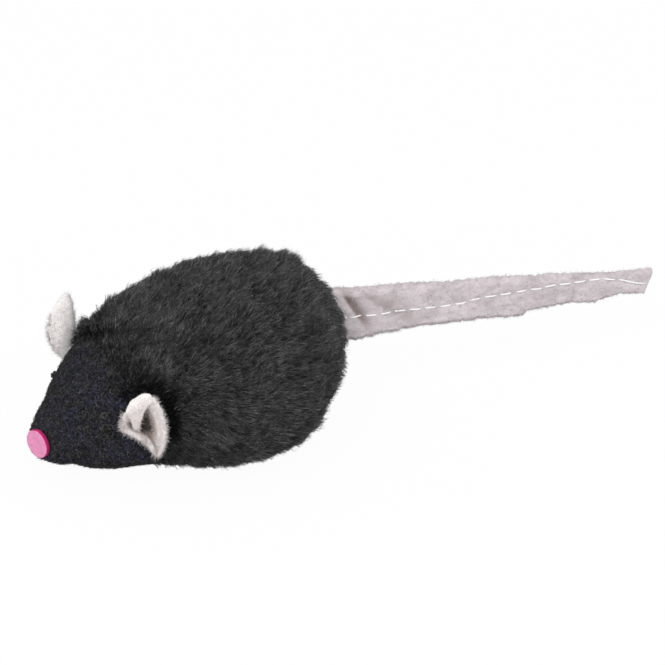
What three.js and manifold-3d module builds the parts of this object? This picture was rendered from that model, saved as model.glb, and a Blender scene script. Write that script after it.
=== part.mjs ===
// A stuffed mouse for a cat to chase, with a squeaking module in its filling.
// Millimetres. +X runs from nose to tail, +Z is up and the mouse's left side faces -Y.
// The origin is the middle of the flat belly that it lies on.
import * as THREE from "three";
import { mergeVertices } from "three/addons/utils/BufferGeometryUtils.js";
import Module from "manifold-3d";

const wasm = await Module();
wasm.setup();

// Stuffed body
const bodyLength = 63;
const bodyHeight = 35;
const bodyWidth = 47;
const plushThickness = 4;
const feltThickness = 1;
const panelThickness = 1.3;
const hemRise = 1;
const sewingGap = 0.3;

// Outline of the stuffed body at twelve stations from nose to rump, in shares.
// top and low are [along the length, up the height], flank is of half the width.
const outlineShares = [
  { top: [-0.004, 0.3], low: [-0.005, 0.11], flank: 0.17 },
  { top: [0.055, 0.43], low: [0.073, 0.085], flank: 0.315 },
  { top: [0.124, 0.575], low: [0.182, 0.035], flank: 0.51 },
  { top: [0.2, 0.71], low: [0.333, 0.022], flank: 0.67 },
  { top: [0.283, 0.85], low: [0.437, -0.014], flank: 0.83 },
  { top: [0.43, 0.915], low: [0.54, -0.014], flank: 0.96 },
  { top: [0.6, 0.98], low: [0.667, -0.014], flank: 0.975 },
  { top: [0.755, 1.0], low: [0.785, 0.01], flank: 0.85 },
  { top: [0.87, 0.975], low: [0.876, 0.105], flank: 0.645 },
  { top: [0.94, 0.845], low: [0.944, 0.245], flank: 0.43 },
  { top: [0.987, 0.685], low: [0.987, 0.383], flank: 0.21 },
  { top: [1.0, 0.537], low: [1.0, 0.537], flank: 0.0 },
];

// Shares of the way from the first station to the last
const seamPlaceShare = 3 / 11;
const flatBellyPlaceShare = 5 / 11;

// Height where a ring is widest, and how much squarer than an ellipse it is
const widestHeightShare = 0.45;
const backSquarenessShare = 0.075;
const cheekSquarenessShare = 0;
const bellySquarenessShare = 0.3;

// Nose
const noseDiameter = 5.8;
const noseThickness = 1;
const noseEdgeRadius = 0.3;
const noseYawDegrees = 18;
const nosePlaceShare = 0.3 / 11;
const noseCutShare = 2;

// Eyes, as knots of thread, sewn a little unevenly
const eyeDiameter = 2.2;
const eyeThickness = 0.8;
const leftEyePlaceShare = 2.14 / 11;
const leftEyeAngleDegrees = 36;
const rightEyePlaceShare = 1.95 / 11;
const rightEyeAngleDegrees = 27;

// Ears: cupped felt leaves. The rim goes round from the pinched base, up the rear edge, over
// the tip and down the front to the lower lip, and the pocket is the deepest point of the cup,
// both in shares of [width, width, height]: back, out, up. The two were pinched differently.
const earWidth = 8;
const earCupDepth = 1.1;
const earThickness = 0.9;
const earSeatGap = 0.8;
const earAngleDegrees = -11;
const earWallShare = 0.55;
const earBendShare = 0.7;
const leftEarHeight = 15.7;
const leftEarPocketShares = [-0.4, -0.05, 0.4];
const leftEarRimShares = [
  [-0.02, 0.05, 0.0],
  [-0.08, 0.55, 0.34],
  [-0.11, 0.61, 0.57],
  [-0.22, 0.58, 0.81],
  [-0.45, 0.48, 1.0],
  [-0.73, 0.3, 0.89],
  [-0.82, 0.12, 0.74],
  [-0.94, 0.07, 0.56],
  [-0.9, 0.12, 0.47],
  [-0.66, 0.26, 0.4],
  [-0.39, 0.35, 0.28],
];
const rightEarHeight = 16.7;
const rightEarPocketShares = [-0.42, -0.05, 0.45];
const rightEarRimShares = [
  [-0.02, 0.05, 0.0],
  [-0.12, 0.54, 0.35],
  [-0.12, 0.61, 0.64],
  [-0.2, 0.57, 0.85],
  [-0.33, 0.48, 1.0],
  [-0.59, 0.32, 0.96],
  [-0.8, 0.18, 0.89],
  [-0.92, 0.11, 0.73],
  [-0.88, 0.13, 0.585],
  [-0.72, 0.23, 0.41],
  [-0.48, 0.29, 0.25],
];

// Tail: a felt strip folded along its top edge, standing on its cut edges
const tailLength = 66.4;
const tailDroop = 8.6;
const tailRootHeight = 11.4;
const tailSlit = 0.3;
const tailSeatHeight = 20.6;
const tailRootGap = 0.6;
const tailHeightShares = [1.0, 0.91, 0.81, 0.715, 0.715, 0.65, 0.56, 0.475, 0.42];
const tailTipSlantShare = 0.35;
const tailStartShare = 2;

// Sound module
const caseDiameter = 24;
const caseHeight = 13.2;
const caseWall = 1.2;
const casePlaceShare = 0.545;
const caseFloor = 8;
const lidHeight = 3.8;
const lipDepth = 1;
const lipWall = 0.6;
const ledgeWidth = 0.8;
const seatGap = 0.15;
const fitGap = 0.3;
const soundHoleDiameter = 1.6;
const soundHoleCircle = 6.4;
const soundHoleCount = 6;

const cellDiameter = 7.9;
const cellHeight = 3.6;
const cellCapDiameter = 6.4;
const cellCapHeight = 0.5;
const cellEdge = 0.25;
const cellCount = 3;
const pocketDepth = 2.2;
const pocketWall = 0.4;
const strapThickness = 0.3;
const strapWidth = 3;

const boardThickness = 1;
const chipDiameter = 6;
const chipHeight = 1.2;

const speakerDiameter = 15;
const speakerPlate = 0.3;
const ceramicDiameter = 10;
const ceramicThickness = 0.3;
const speakerRingWall = 0.8;
const speakerRingHeight = 1;

const pinDiameter = 0.7;
const pinLength = 6.6;
const pinFlangeDiameter = 2.8;
const pinFlangeThickness = 1;
const springInside = 2;
const springWire = 0.3;
const springTurns = 6;
const springPitch = 0.85;
const switchOffset = 4.6;

const wireDiameter = 0.8;
const wireReach = 2.2;

// Mesh fineness
const bodySides = 28;
const ringsPerStation = 2;
const leastRings = 3;
const overrunStations = 1;
const panelStart = 1;
const noseEdgeSteps = 3;
const roundSides = 24;
const smallSides = 16;
const wireSides = 6;
const wireSteps = 10;
const mergeTolerance = 1e-4;
const cutOverrun = 2;

const feltBlack = cloth("head felt", 0x302f33);
const plushBlack = cloth("plush", 0x333333);
const feltGrey = cloth("grey felt", 0xc9c0c2);
const feltPink = cloth("pink felt", 0xe592bc);
const threadBlack = cloth("black thread", 0x1c1c1e);
const fibreWhite = cloth("fibre filling", 0xe8e6e0);
const plasticWhite = hard("white plastic", 0xe6e4de, 0.5, 0);
const boardGreen = hard("board laminate", 0x2c6b45, 0.6, 0);
const epoxyBlack = hard("potting resin", 0x17171a, 0.35, 0);
const steel = hard("plated steel", 0xb9bcc0, 0.3, 1);
const brass = hard("brass", 0xc9a24e, 0.35, 1);
const wireCoatRed = hard("red wire coat", 0xb02a2a, 0.5, 0);
const wireCoatBlack = hard("black wire coat", 0x202022, 0.5, 0);

function cloth(name, color) {
  return new THREE.MeshStandardMaterial({ name, color, roughness: 1, metalness: 0 });
}

function hard(name, color, roughness, metalness) {
  return new THREE.MeshStandardMaterial({ name, color, roughness, metalness });
}

const mouse = new THREE.Group();

function addPiece(name, geometry, material, parent = mouse) {
  const piece = new THREE.Mesh(geometry, material);
  piece.name = name;
  parent.add(piece);
  return piece;
}

// Solids: three.js geometry to a manifold and back, for joins and cuts
function solidOf(geometry) {
  const plain = geometry.clone();
  plain.deleteAttribute("normal");
  plain.deleteAttribute("uv");
  const merged = mergeVertices(plain, mergeTolerance);
  const vertProperties = new Float32Array(merged.attributes.position.array);
  const triVerts = new Uint32Array(merged.index.array);
  return new wasm.Manifold(new wasm.Mesh({ numProp: 3, vertProperties, triVerts }));
}

function geometryOf(solid) {
  const mesh = solid.getMesh();
  const geometry = new THREE.BufferGeometry();
  const positions = new THREE.Float32BufferAttribute(mesh.vertProperties, 3);
  geometry.setAttribute("position", positions);
  geometry.setIndex(Array.from(mesh.triVerts));
  geometry.computeVertexNormals();
  return geometry;
}

// A box between two corners, for cuts
function boxSolid(low, high) {
  const size = new THREE.Vector3().subVectors(high, low);
  const middle = new THREE.Vector3().addVectors(high, low).multiplyScalar(0.5);
  const geometry = new THREE.BoxGeometry(size.x, size.y, size.z);
  geometry.translate(middle.x, middle.y, middle.z);
  return solidOf(geometry);
}

// Closed skin over rings of points, each ring going from +Y to +Z about the way they run
function closeRings(rings, startPoint, endPoint) {
  const sides = rings[0].length;
  const points = [...rings.flat(), startPoint, endPoint];
  const startIndex = points.length - 2;
  const endIndex = points.length - 1;
  const lastRing = (rings.length - 1) * sides;
  const triangles = [];
  for (let side = 0; side < sides; side += 1) {
    const next = (side + 1) % sides;
    triangles.push(startIndex, next, side);
    triangles.push(endIndex, lastRing + side, lastRing + next);
    for (let ring = 0; ring < rings.length - 1; ring += 1) {
      const here = ring * sides;
      const there = here + sides;
      triangles.push(here + side, here + next, there + side);
      triangles.push(here + next, there + next, there + side);
    }
  }
  const geometry = new THREE.BufferGeometry().setFromPoints(points);
  geometry.setIndex(triangles);
  geometry.computeVertexNormals();
  return geometry;
}

function middleOf(points) {
  const middle = new THREE.Vector3();
  points.forEach((point) => middle.add(point));
  return middle.divideScalar(points.length);
}

// Skin of the stuffed body: back, belly and flank lines run through the stations, and a
// ring between them is a superellipse in a plane that leans with the stations
const lastStation = outlineShares.length - 1;
const seamStation = seamPlaceShare * lastStation;
const noseStation = nosePlaceShare * lastStation;
const halfLength = bodyLength / 2;
const outlinePoint = ([along, up]) =>
  new THREE.Vector2(along * bodyLength - halfLength, up * bodyHeight);
const backLine = new THREE.SplineCurve(outlineShares.map(({ top }) => outlinePoint(top)));
const bellyLine = new THREE.SplineCurve(outlineShares.map(({ low }) => outlinePoint(low)));
const flankLine = new THREE.SplineCurve(
  outlineShares.map(({ flank }, station) => new THREE.Vector2(station, (flank * bodyWidth) / 2)),
);

function signedPower(value, exponent) {
  return Math.sign(value) * Math.abs(value) ** exponent;
}

function skinPoint(station, angle) {
  const along = THREE.MathUtils.clamp(station / lastStation, 0, 1);
  const top = backLine.getPoint(along);
  const low = bellyLine.getPoint(along);
  const flank = flankLine.getPoint(along).y;
  const under = THREE.MathUtils.smoothstep(along, seamPlaceShare, flatBellyPlaceShare);
  const lowerSquareness = THREE.MathUtils.lerp(cheekSquarenessShare, bellySquarenessShare, under);
  const rising = Math.sin(angle) > 0;
  const exponent = 1 / (1 + (rising ? backSquarenessShare : lowerSquareness));
  const reach = rising ? 1 - widestHeightShare : widestHeightShare;
  const upShare = widestHeightShare + reach * signedPower(Math.sin(angle), exponent);
  return new THREE.Vector3(
    THREE.MathUtils.lerp(low.x, top.x, upShare),
    flank * signedPower(Math.cos(angle), exponent),
    THREE.MathUtils.lerp(low.y, top.y, upShare),
  );
}

// Outward direction of the skin, from small steps along it and round it
const probeShare = 0.01;

function skinNormal(station, angle) {
  const inside = Math.min(station, lastStation - 3 * probeShare);
  const ahead = skinPoint(inside + probeShare, angle);
  const behind = skinPoint(inside - probeShare, angle);
  const onwards = skinPoint(inside, angle + probeShare);
  const backwards = skinPoint(inside, angle - probeShare);
  const round = onwards.sub(backwards);
  return round.cross(ahead.sub(behind)).normalize();
}

function skinAt(station, angle, depth) {
  return skinPoint(station, angle).addScaledVector(skinNormal(station, angle), -depth);
}

// A ring of the skin or of a lining. A lining lies inwards from the skin, but doesn't rise
// from it near the floor, so that the covers stay open where the belly panel closes them.
const hemHeight = panelThickness + sewingGap;

function skinRing(station, depth, sides = bodySides) {
  return Array.from({ length: sides }, (_, side) => {
    const angle = ((side + 0.5) / sides) * 2 * Math.PI;
    const inwards = skinNormal(station, angle).multiplyScalar(-depth);
    const point = skinPoint(station, angle);
    if (inwards.z > 0) inwards.z *= THREE.MathUtils.clamp((point.z - hemHeight) / hemRise, 0, 1);
    return point.add(inwards);
  });
}

// Stations are closer together towards the rump, where the skin turns in
function skinSolid(startStation, endStation, depth, sides = bodySides) {
  const count = Math.max(leastRings, Math.round((endStation - startStation) * ringsPerStation));
  const rings = Array.from({ length: count }, (_, ring) =>
    skinRing(THREE.MathUtils.lerp(startStation, endStation, ring / count), depth, sides),
  );
  const endPoint =
    endStation < lastStation
      ? null
      : new THREE.Vector3(halfLength - depth, 0, outlinePoint(outlineShares[lastStation].top).y);
  if (!endPoint) rings.push(skinRing(endStation, depth, sides));
  return solidOf(closeRings(rings, middleOf(rings[0]), endPoint ?? middleOf(rings.at(-1))));
}

const stationLength = bodyLength / lastStation;
const seamHalfGap = sewingGap / stationLength;
const headEnd = seamStation - seamHalfGap;
const bodyStart = seamStation + seamHalfGap;
const insidePlush = plushThickness + sewingGap;
const insideFelt = feltThickness + sewingGap;

function slabSolid(bottom, top) {
  const reach = bodyLength;
  return boxSolid(new THREE.Vector3(-reach, -reach, bottom), new THREE.Vector3(reach, reach, top));
}

const belowPanel = slabSolid(-bodyHeight, hemHeight);
const aboveFilling = hemHeight + hemRise + sewingGap;

// Nose: the head is cut square to the disc that is glued on it
const noseAxis = new THREE.Vector3(-1, 0, 0).applyAxisAngle(
  new THREE.Vector3(0, 0, 1),
  THREE.MathUtils.degToRad(noseYawDegrees),
);
const noseSeat = middleOf(skinRing(noseStation, 0));
const noseTurn = new THREE.Quaternion().setFromUnitVectors(new THREE.Vector3(0, 1, 0), noseAxis);

function noseCutSolid(depth) {
  const reach = noseCutShare * noseDiameter;
  const cut = new THREE.BoxGeometry(bodyHeight, reach, bodyHeight);
  cut.translate(0, reach / 2 - depth, 0);
  cut.applyQuaternion(noseTurn);
  cut.translate(noseSeat.x, noseSeat.y, noseSeat.z);
  return solidOf(cut);
}

function noseDisc() {
  const radius = noseDiameter / 2;
  const outline = new THREE.Path();
  outline.moveTo(0, 0);
  outline.lineTo(radius, 0);
  outline.lineTo(radius, noseThickness - noseEdgeRadius);
  const corner = [radius - noseEdgeRadius, noseThickness - noseEdgeRadius];
  outline.absarc(...corner, noseEdgeRadius, 0, Math.PI / 2);
  outline.lineTo(0, noseThickness);
  return new THREE.LatheGeometry(outline.getPoints(noseEdgeSteps), roundSides);
}

// Covers: each is the skin less the skin one cloth deeper, open at the seam and the belly
function headCover() {
  const outside = skinSolid(0, headEnd, 0);
  const lining = skinSolid(0, headEnd + overrunStations, feltThickness);
  const inside = lining.subtract(noseCutSolid(feltThickness));
  return geometryOf(outside.subtract(inside).subtract(noseCutSolid(0)).subtract(belowPanel));
}

function bodyCover() {
  const outside = skinSolid(bodyStart, lastStation, 0);
  const inside = skinSolid(seamStation - overrunStations, lastStation, plushThickness);
  return geometryOf(outside.subtract(inside).subtract(belowPanel));
}

function bellyPanel() {
  const whole = skinSolid(panelStart, lastStation, 0);
  return geometryOf(whole.intersect(slabSolid(0, panelThickness)));
}

function headStuffing() {
  const filling = skinSolid(noseStation, headEnd, insideFelt);
  const nose = noseCutSolid(insideFelt);
  return geometryOf(filling.subtract(nose).subtract(slabSolid(-bodyHeight, aboveFilling)));
}

const caseRadius = caseDiameter / 2;
const caseMiddle = casePlaceShare * bodyLength - halfLength;
const splitHeight = caseFloor + caseHeight / 2;

function bodyStuffing(bottom, top) {
  const filling = skinSolid(bodyStart, lastStation, insidePlush);
  const pocket = new THREE.CylinderGeometry(
    caseRadius + fitGap,
    caseRadius + fitGap,
    caseHeight + 2 * fitGap,
    2 * roundSides,
  );
  pocket.rotateX(Math.PI / 2);
  pocket.translate(caseMiddle, 0, splitHeight);
  return geometryOf(filling.intersect(slabSolid(bottom, top)).subtract(solidOf(pocket)));
}

// Ear: a cup of felt. Each line from the pocket bulges over a wall towards the head and ends
// at the rim.
const earRings = 7;
const earSides = 24;
const earStep = 0.02;

function earPoint([back, out, up], earHeight) {
  return new THREE.Vector3(back * earWidth, -out * earWidth, up * earHeight);
}

// One point of the cup: share goes from the pocket to the rim, and round goes once about it
function cupPoint(ear, share, round) {
  const rim = ear.rim.getPoint(((round % 1) + 1) % 1);
  const wall = ear.pocket.clone().lerp(rim, earWallShare);
  wall.y += earCupDepth * Math.max(rim.z / ear.earHeight, 0);
  const bend = wall.clone().lerp(rim, earBendShare);
  return new THREE.CatmullRomCurve3([ear.pocket.clone(), wall, bend, rim]).getPoint(share);
}

function cupNormal(ear, share, round) {
  const outer = Math.min(share + earStep, 1);
  const outwards = cupPoint(ear, outer, round).sub(cupPoint(ear, share - earStep, round));
  const along = cupPoint(ear, share, round + earStep).sub(cupPoint(ear, share, round - earStep));
  return along.cross(outwards).normalize();
}

function cupRing(ear, share, side) {
  return Array.from({ length: earSides }, (_, index) => {
    const round = index / earSides;
    const normal = cupNormal(ear, share, round);
    return cupPoint(ear, share, round).addScaledVector(normal, (side * earThickness) / 2);
  });
}

function earGeometry(earHeight, rimShares, pocketShares) {
  const rimPoints = rimShares.map((shares) => earPoint(shares, earHeight));
  const rim = new THREE.CatmullRomCurve3(rimPoints, true);
  const ear = { rim, pocket: earPoint(pocketShares, earHeight), earHeight };
  const shares = Array.from({ length: earRings }, (_, ring) => (ring + 1) / earRings);
  const back = shares.map((share) => cupRing(ear, share, 1));
  const front = shares.map((share) => cupRing(ear, share, -1)).reverse();
  const half = new THREE.Vector3(0, earThickness / 2, 0);
  const ends = [ear.pocket.clone().add(half), ear.pocket.clone().sub(half)];
  return closeRings([...back, ...front], ...ends);
}

function mirrored(geometry) {
  const copy = geometry.clone().scale(1, -1, 1);
  const index = Array.from(copy.index.array);
  for (let corner = 0; corner < index.length; corner += 3) {
    [index[corner], index[corner + 1]] = [index[corner + 1], index[corner]];
  }
  copy.setIndex(index);
  copy.computeVertexNormals();
  return copy;
}

const earAngle = Math.PI - THREE.MathUtils.degToRad(earAngleDegrees);
const earRoot = skinAt(seamStation, earAngle, -earSeatGap);

// Eye: a flat knot, lying on the felt of the cheek
function eyeGeometry() {
  const radius = eyeDiameter / 2;
  const knot = new THREE.SphereGeometry(radius, roundSides / 2, roundSides / 4);
  return knot.scale(1, eyeThickness / eyeDiameter, 1);
}

function addEye(name, placeShare, angle) {
  const station = placeShare * lastStation;
  const eye = addPiece(name, eyeGeometry(), threadBlack);
  const normal = skinNormal(station, angle);
  eye.position.copy(skinAt(station, angle, -(eyeThickness / 2 + sewingGap)));
  eye.quaternion.setFromUnitVectors(new THREE.Vector3(0, 1, 0), normal);
}

// Tail: a hairpin section, round at the fold and open below, carried along the tail
const tailHalfThickness = feltThickness + tailSlit / 2;
const foldSteps = 4;
const tailSteps = 16;

function tailHeightAt(share) {
  const place = share * (tailHeightShares.length - 1);
  const before = Math.min(Math.floor(place), tailHeightShares.length - 2);
  const low = tailHeightShares[before];
  const high = tailHeightShares[before + 1];
  return tailRootHeight * THREE.MathUtils.lerp(low, high, place - before);
}

function hairpinSection(height) {
  const fold = height / 2 - tailHalfThickness;
  const outside = Array.from({ length: foldSteps + 1 }, (_, step) => {
    const angle = (step / foldSteps) * Math.PI;
    return [tailHalfThickness * Math.cos(angle), fold + tailHalfThickness * Math.sin(angle)];
  });
  const slit = tailSlit / 2;
  const edge = -height / 2;
  return [
    [slit, fold],
    [slit, edge],
    [tailHalfThickness, edge],
    ...outside,
    [-tailHalfThickness, edge],
    [-slit, edge],
    [-slit, fold],
  ];
}

function tailGeometry() {
  const start = -tailStartShare * tailHalfThickness;
  const rings = Array.from({ length: tailSteps + 1 }, (_, step) => {
    const share = step / tailSteps;
    const along = THREE.MathUtils.lerp(start, tailLength, share);
    const section = hairpinSection(tailHeightAt(share));
    const slant = share === 1 ? tailTipSlantShare : 0;
    return section.map(([across, up]) => new THREE.Vector3(along + slant * up, across, up));
  });
  return hairpinSolid(rings);
}

// The section is not convex, so its ends are filled as a three.js shape would be
function hairpinSolid(rings) {
  const sides = rings[0].length;
  const outline = rings[0].map((point) => new THREE.Vector2(point.y, point.z));
  const faces = THREE.ShapeUtils.triangulateShape(outline, []);
  const lastRing = (rings.length - 1) * sides;
  const triangles = [];
  faces.forEach(([a, b, c]) => {
    triangles.push(a, c, b);
    triangles.push(lastRing + a, lastRing + b, lastRing + c);
  });
  for (let ring = 0; ring < rings.length - 1; ring += 1) {
    for (let side = 0; side < sides; side += 1) {
      const next = (side + 1) % sides;
      const here = ring * sides;
      const there = here + sides;
      triangles.push(here + side, here + next, there + side);
      triangles.push(here + next, there + next, there + side);
    }
  }
  const geometry = new THREE.BufferGeometry().setFromPoints(rings.flat());
  geometry.setIndex(triangles);
  return geometry;
}

// Where the tail's middle line meets the rump, found on the skin at the tail's height
function rumpPlace(height) {
  let station = lastStation;
  while (station > 0 && skinPoint(station, Math.PI / 2).z < height) station -= probeShare;
  return skinPoint(station, Math.PI / 2);
}

const tailRoot = rumpPlace(tailSeatHeight);
const tailTilt = Math.asin(tailDroop / tailLength);

function tailSolid() {
  const strip = tailGeometry();
  strip.rotateY(tailTilt);
  strip.translate(tailRoot.x, 0, tailSeatHeight);
  const rump = skinSolid(seamStation, lastStation, -tailRootGap);
  return geometryOf(solidOf(strip).subtract(rump));
}

addPiece("head_cover", headCover(), feltBlack);
addPiece("body_cover", bodyCover(), plushBlack);
addPiece("belly_panel", bellyPanel(), feltBlack);
addPiece("head_stuffing", headStuffing(), fibreWhite);
addPiece("body_stuffing_lower", bodyStuffing(aboveFilling, splitHeight - sewingGap / 2), fibreWhite);
addPiece("body_stuffing_upper", bodyStuffing(splitHeight + sewingGap / 2, bodyHeight), fibreWhite);

const nose = addPiece("nose_disc", noseDisc(), feltPink);
nose.quaternion.copy(noseTurn);
nose.position.copy(noseSeat).addScaledVector(noseAxis, sewingGap);

const leftEyeAngle = THREE.MathUtils.degToRad(leftEyeAngleDegrees);
addEye("eye_left", leftEyePlaceShare, Math.PI - leftEyeAngle);
const rightEyeAngle = THREE.MathUtils.degToRad(rightEyeAngleDegrees);
addEye("eye_right", rightEyePlaceShare, rightEyeAngle);

const leftEar = earGeometry(leftEarHeight, leftEarRimShares, leftEarPocketShares);
const earLeft = addPiece("ear_left", leftEar, feltGrey);
earLeft.position.copy(earRoot);
const rightEar = earGeometry(rightEarHeight, rightEarRimShares, rightEarPocketShares);
const earRight = addPiece("ear_right", mirrored(rightEar), feltGrey);
earRight.position.set(earRoot.x, -earRoot.y, earRoot.z);

addPiece("tail", tailSolid(), feltGrey);

// Sound module, built on its own floor and set into the filling
const module = new THREE.Group();
module.position.set(caseMiddle, 0, caseFloor);
mouse.add(module);

const caseInside = caseRadius - caseWall;
const baseHeight = caseHeight - lidHeight;
const cellFloor = caseWall + strapThickness + 2 * seatGap;
const cellTop = cellFloor + cellHeight;
const boardFloor = cellTop + strapThickness + 2 * seatGap;
const boardTop = boardFloor + boardThickness;
const boardRadius = caseInside - fitGap;
const cellCircle = (cellDiameter + fitGap + pocketWall) / Math.sqrt(3);

const cellPlaces = Array.from({ length: cellCount }, (_, index) => {
  const angle = (index / cellCount) * 2 * Math.PI;
  return new THREE.Vector2(cellCircle * Math.cos(angle), cellCircle * Math.sin(angle));
});

// A turned piece about Z from its outline of [radius, height] points
function turned(points, sides = roundSides) {
  const outline = points.map(([radius, height]) => new THREE.Vector2(radius, height));
  return new THREE.LatheGeometry(outline, sides).rotateX(Math.PI / 2);
}

function uprightCylinder(radius, bottom, top, sides = roundSides) {
  return turned([[0, bottom], [radius, bottom], [radius, top], [0, top]], sides);
}

// A strap with round ends that joins two cells
function strapGeometry(from, to, bottom, widening = 0) {
  const radius = strapWidth / 2 + widening;
  const along = new THREE.Vector2().subVectors(to, from);
  const reach = along.length();
  const shape = new THREE.Shape();
  shape.absarc(reach, 0, radius, -Math.PI / 2, Math.PI / 2);
  shape.absarc(0, 0, radius, Math.PI / 2, (3 * Math.PI) / 2);
  const strap = new THREE.ExtrudeGeometry(shape, {
    depth: strapThickness + widening,
    bevelEnabled: false,
    curveSegments: roundSides / 4,
  });
  strap.rotateZ(along.angle());
  return strap.translate(from.x, from.y, bottom);
}

function caseBase() {
  const ledge = caseInside - ledgeWidth;
  const cup = turned([
    [0, 0],
    [caseRadius, 0],
    [caseRadius, baseHeight],
    [caseInside, baseHeight],
    [caseInside, boardFloor - seatGap],
    [ledge, boardFloor - seatGap],
    [ledge, caseWall + pocketDepth],
    [0, caseWall + pocketDepth],
  ], 2 * roundSides);
  let base = solidOf(cup);
  cellPlaces.forEach((place) => {
    const top = caseWall + pocketDepth + cutOverrun;
    const pocket = uprightCylinder(cellDiameter / 2 + fitGap / 2, caseWall, top);
    pocket.translate(place.x, place.y, 0);
    base = base.subtract(solidOf(pocket));
  });
  const channel = strapGeometry(cellPlaces[0], cellPlaces[1], caseWall, fitGap);
  return geometryOf(base.subtract(solidOf(channel)));
}

function caseLid() {
  const underside = caseHeight - caseWall;
  const ringInside = speakerDiameter / 2 + fitGap;
  const ringOutside = ringInside + speakerRingWall;
  const lipOutside = caseInside - fitGap;
  const seat = baseHeight + seatGap;
  let lid = solidOf(turned([
    [0, underside],
    [ringInside, underside],
    [ringInside, underside - speakerRingHeight],
    [ringOutside, underside - speakerRingHeight],
    [ringOutside, underside],
    [lipOutside - lipWall, underside],
    [lipOutside - lipWall, baseHeight - lipDepth],
    [lipOutside, baseHeight - lipDepth],
    [lipOutside, seat],
    [caseRadius, seat],
    [caseRadius, caseHeight],
    [0, caseHeight],
  ], 2 * roundSides));
  const holePlaces = Array.from({ length: soundHoleCount }, (_, index) => {
    const angle = (index / soundHoleCount) * 2 * Math.PI;
    const radius = soundHoleCircle / 2;
    return [radius * Math.cos(angle), radius * Math.sin(angle)];
  });
  [[0, 0], ...holePlaces].forEach(([x, y]) => {
    const bottom = underside - cutOverrun;
    const hole = uprightCylinder(soundHoleDiameter / 2, bottom, caseHeight + cutOverrun, roundSides / 2);
    lid = lid.subtract(solidOf(hole.translate(x, y, 0)));
  });
  return geometryOf(lid);
}

function buttonCell() {
  const radius = cellDiameter / 2;
  const capRadius = cellCapDiameter / 2;
  return turned([
    [0, cellFloor],
    [capRadius, cellFloor],
    [capRadius, cellFloor + cellCapHeight],
    [radius - cellEdge, cellFloor + cellCapHeight],
    [radius, cellFloor + cellCapHeight + cellEdge],
    [radius, cellTop - cellEdge],
    [radius - cellEdge, cellTop],
    [0, cellTop],
  ], smallSides);
}

function chipBlob() {
  const radius = chipDiameter / 2;
  const steps = 5;
  const dome = Array.from({ length: steps + 1 }, (_, step) => {
    const angle = (step / steps) * (Math.PI / 2);
    return [radius * Math.cos(angle), boardTop + seatGap + chipHeight * Math.sin(angle)];
  });
  dome[steps][0] = 0;
  return turned([[0, boardTop + seatGap], ...dome], smallSides);
}

function speakerGeometry() {
  const top = caseHeight - caseWall - seatGap;
  const plateBottom = top - speakerPlate;
  const ceramicBottom = plateBottom - ceramicThickness;
  return turned([
    [0, ceramicBottom],
    [ceramicDiameter / 2, ceramicBottom],
    [ceramicDiameter / 2, plateBottom],
    [speakerDiameter / 2, plateBottom],
    [speakerDiameter / 2, top],
    [0, top],
  ]);
}

const speakerBottom = caseHeight - caseWall - seatGap - speakerPlate - ceramicThickness;
const switchHeight = boardTop + seatGap + pinFlangeDiameter / 2;
const switchStart = -(pinLength + pinFlangeThickness) / 2;

function switchPin() {
  const pin = turned([
    [0, 0],
    [pinFlangeDiameter / 2, 0],
    [pinFlangeDiameter / 2, pinFlangeThickness],
    [pinDiameter / 2, pinFlangeThickness],
    [pinDiameter / 2, pinFlangeThickness + pinLength],
    [0, pinFlangeThickness + pinLength],
  ], roundSides / 2);
  return pin.rotateY(Math.PI / 2).translate(switchStart, -switchOffset, switchHeight);
}

// Spring: one unbroken wire wound round the pin, with five sides and eight steps a turn
const springSides = 5;
const springSteps = 8;
const springRadius = (springInside + springWire) / 2;
const springStart = switchStart + pinFlangeThickness + fitGap;

function springPoint(turn) {
  const angle = turn * 2 * Math.PI;
  return new THREE.Vector3(
    springStart + springWire / 2 + turn * springPitch,
    -switchOffset + springRadius * Math.cos(angle),
    switchHeight + springRadius * Math.sin(angle),
  );
}

function springGeometry() {
  const count = springTurns * springSteps;
  const rings = Array.from({ length: count + 1 }, (_, step) => {
    const turn = step / springSteps;
    const middle = springPoint(turn);
    const ahead = springPoint(turn + probeShare).sub(springPoint(turn - probeShare)).normalize();
    const axis = new THREE.Vector3(middle.x, -switchOffset, switchHeight);
    const outwards = middle.clone().sub(axis).normalize();
    const across = new THREE.Vector3().crossVectors(ahead, outwards);
    return Array.from({ length: springSides }, (__, side) => {
      const angle = (side / springSides) * 2 * Math.PI;
      return middle
        .clone()
        .addScaledVector(outwards, (springWire / 2) * Math.cos(angle))
        .addScaledVector(across, (springWire / 2) * Math.sin(angle));
    });
  });
  return closeRings(rings, springPoint(0), springPoint(springTurns));
}

// Least distance between neighbouring turns, measured on points of the wire's middle line
function springLeastGap() {
  const count = springTurns * springSteps;
  let least = Infinity;
  for (let step = 0; step <= count; step += 1) {
    for (let other = step + springSteps / 2; other <= count; other += 1) {
      const apart = springPoint(step / springSteps).distanceTo(springPoint(other / springSteps));
      least = Math.min(least, apart - springWire);
    }
  }
  return least;
}
console.log(`Least gap between turns of the switch spring: ${springLeastGap().toFixed(2)} mm`);

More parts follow.
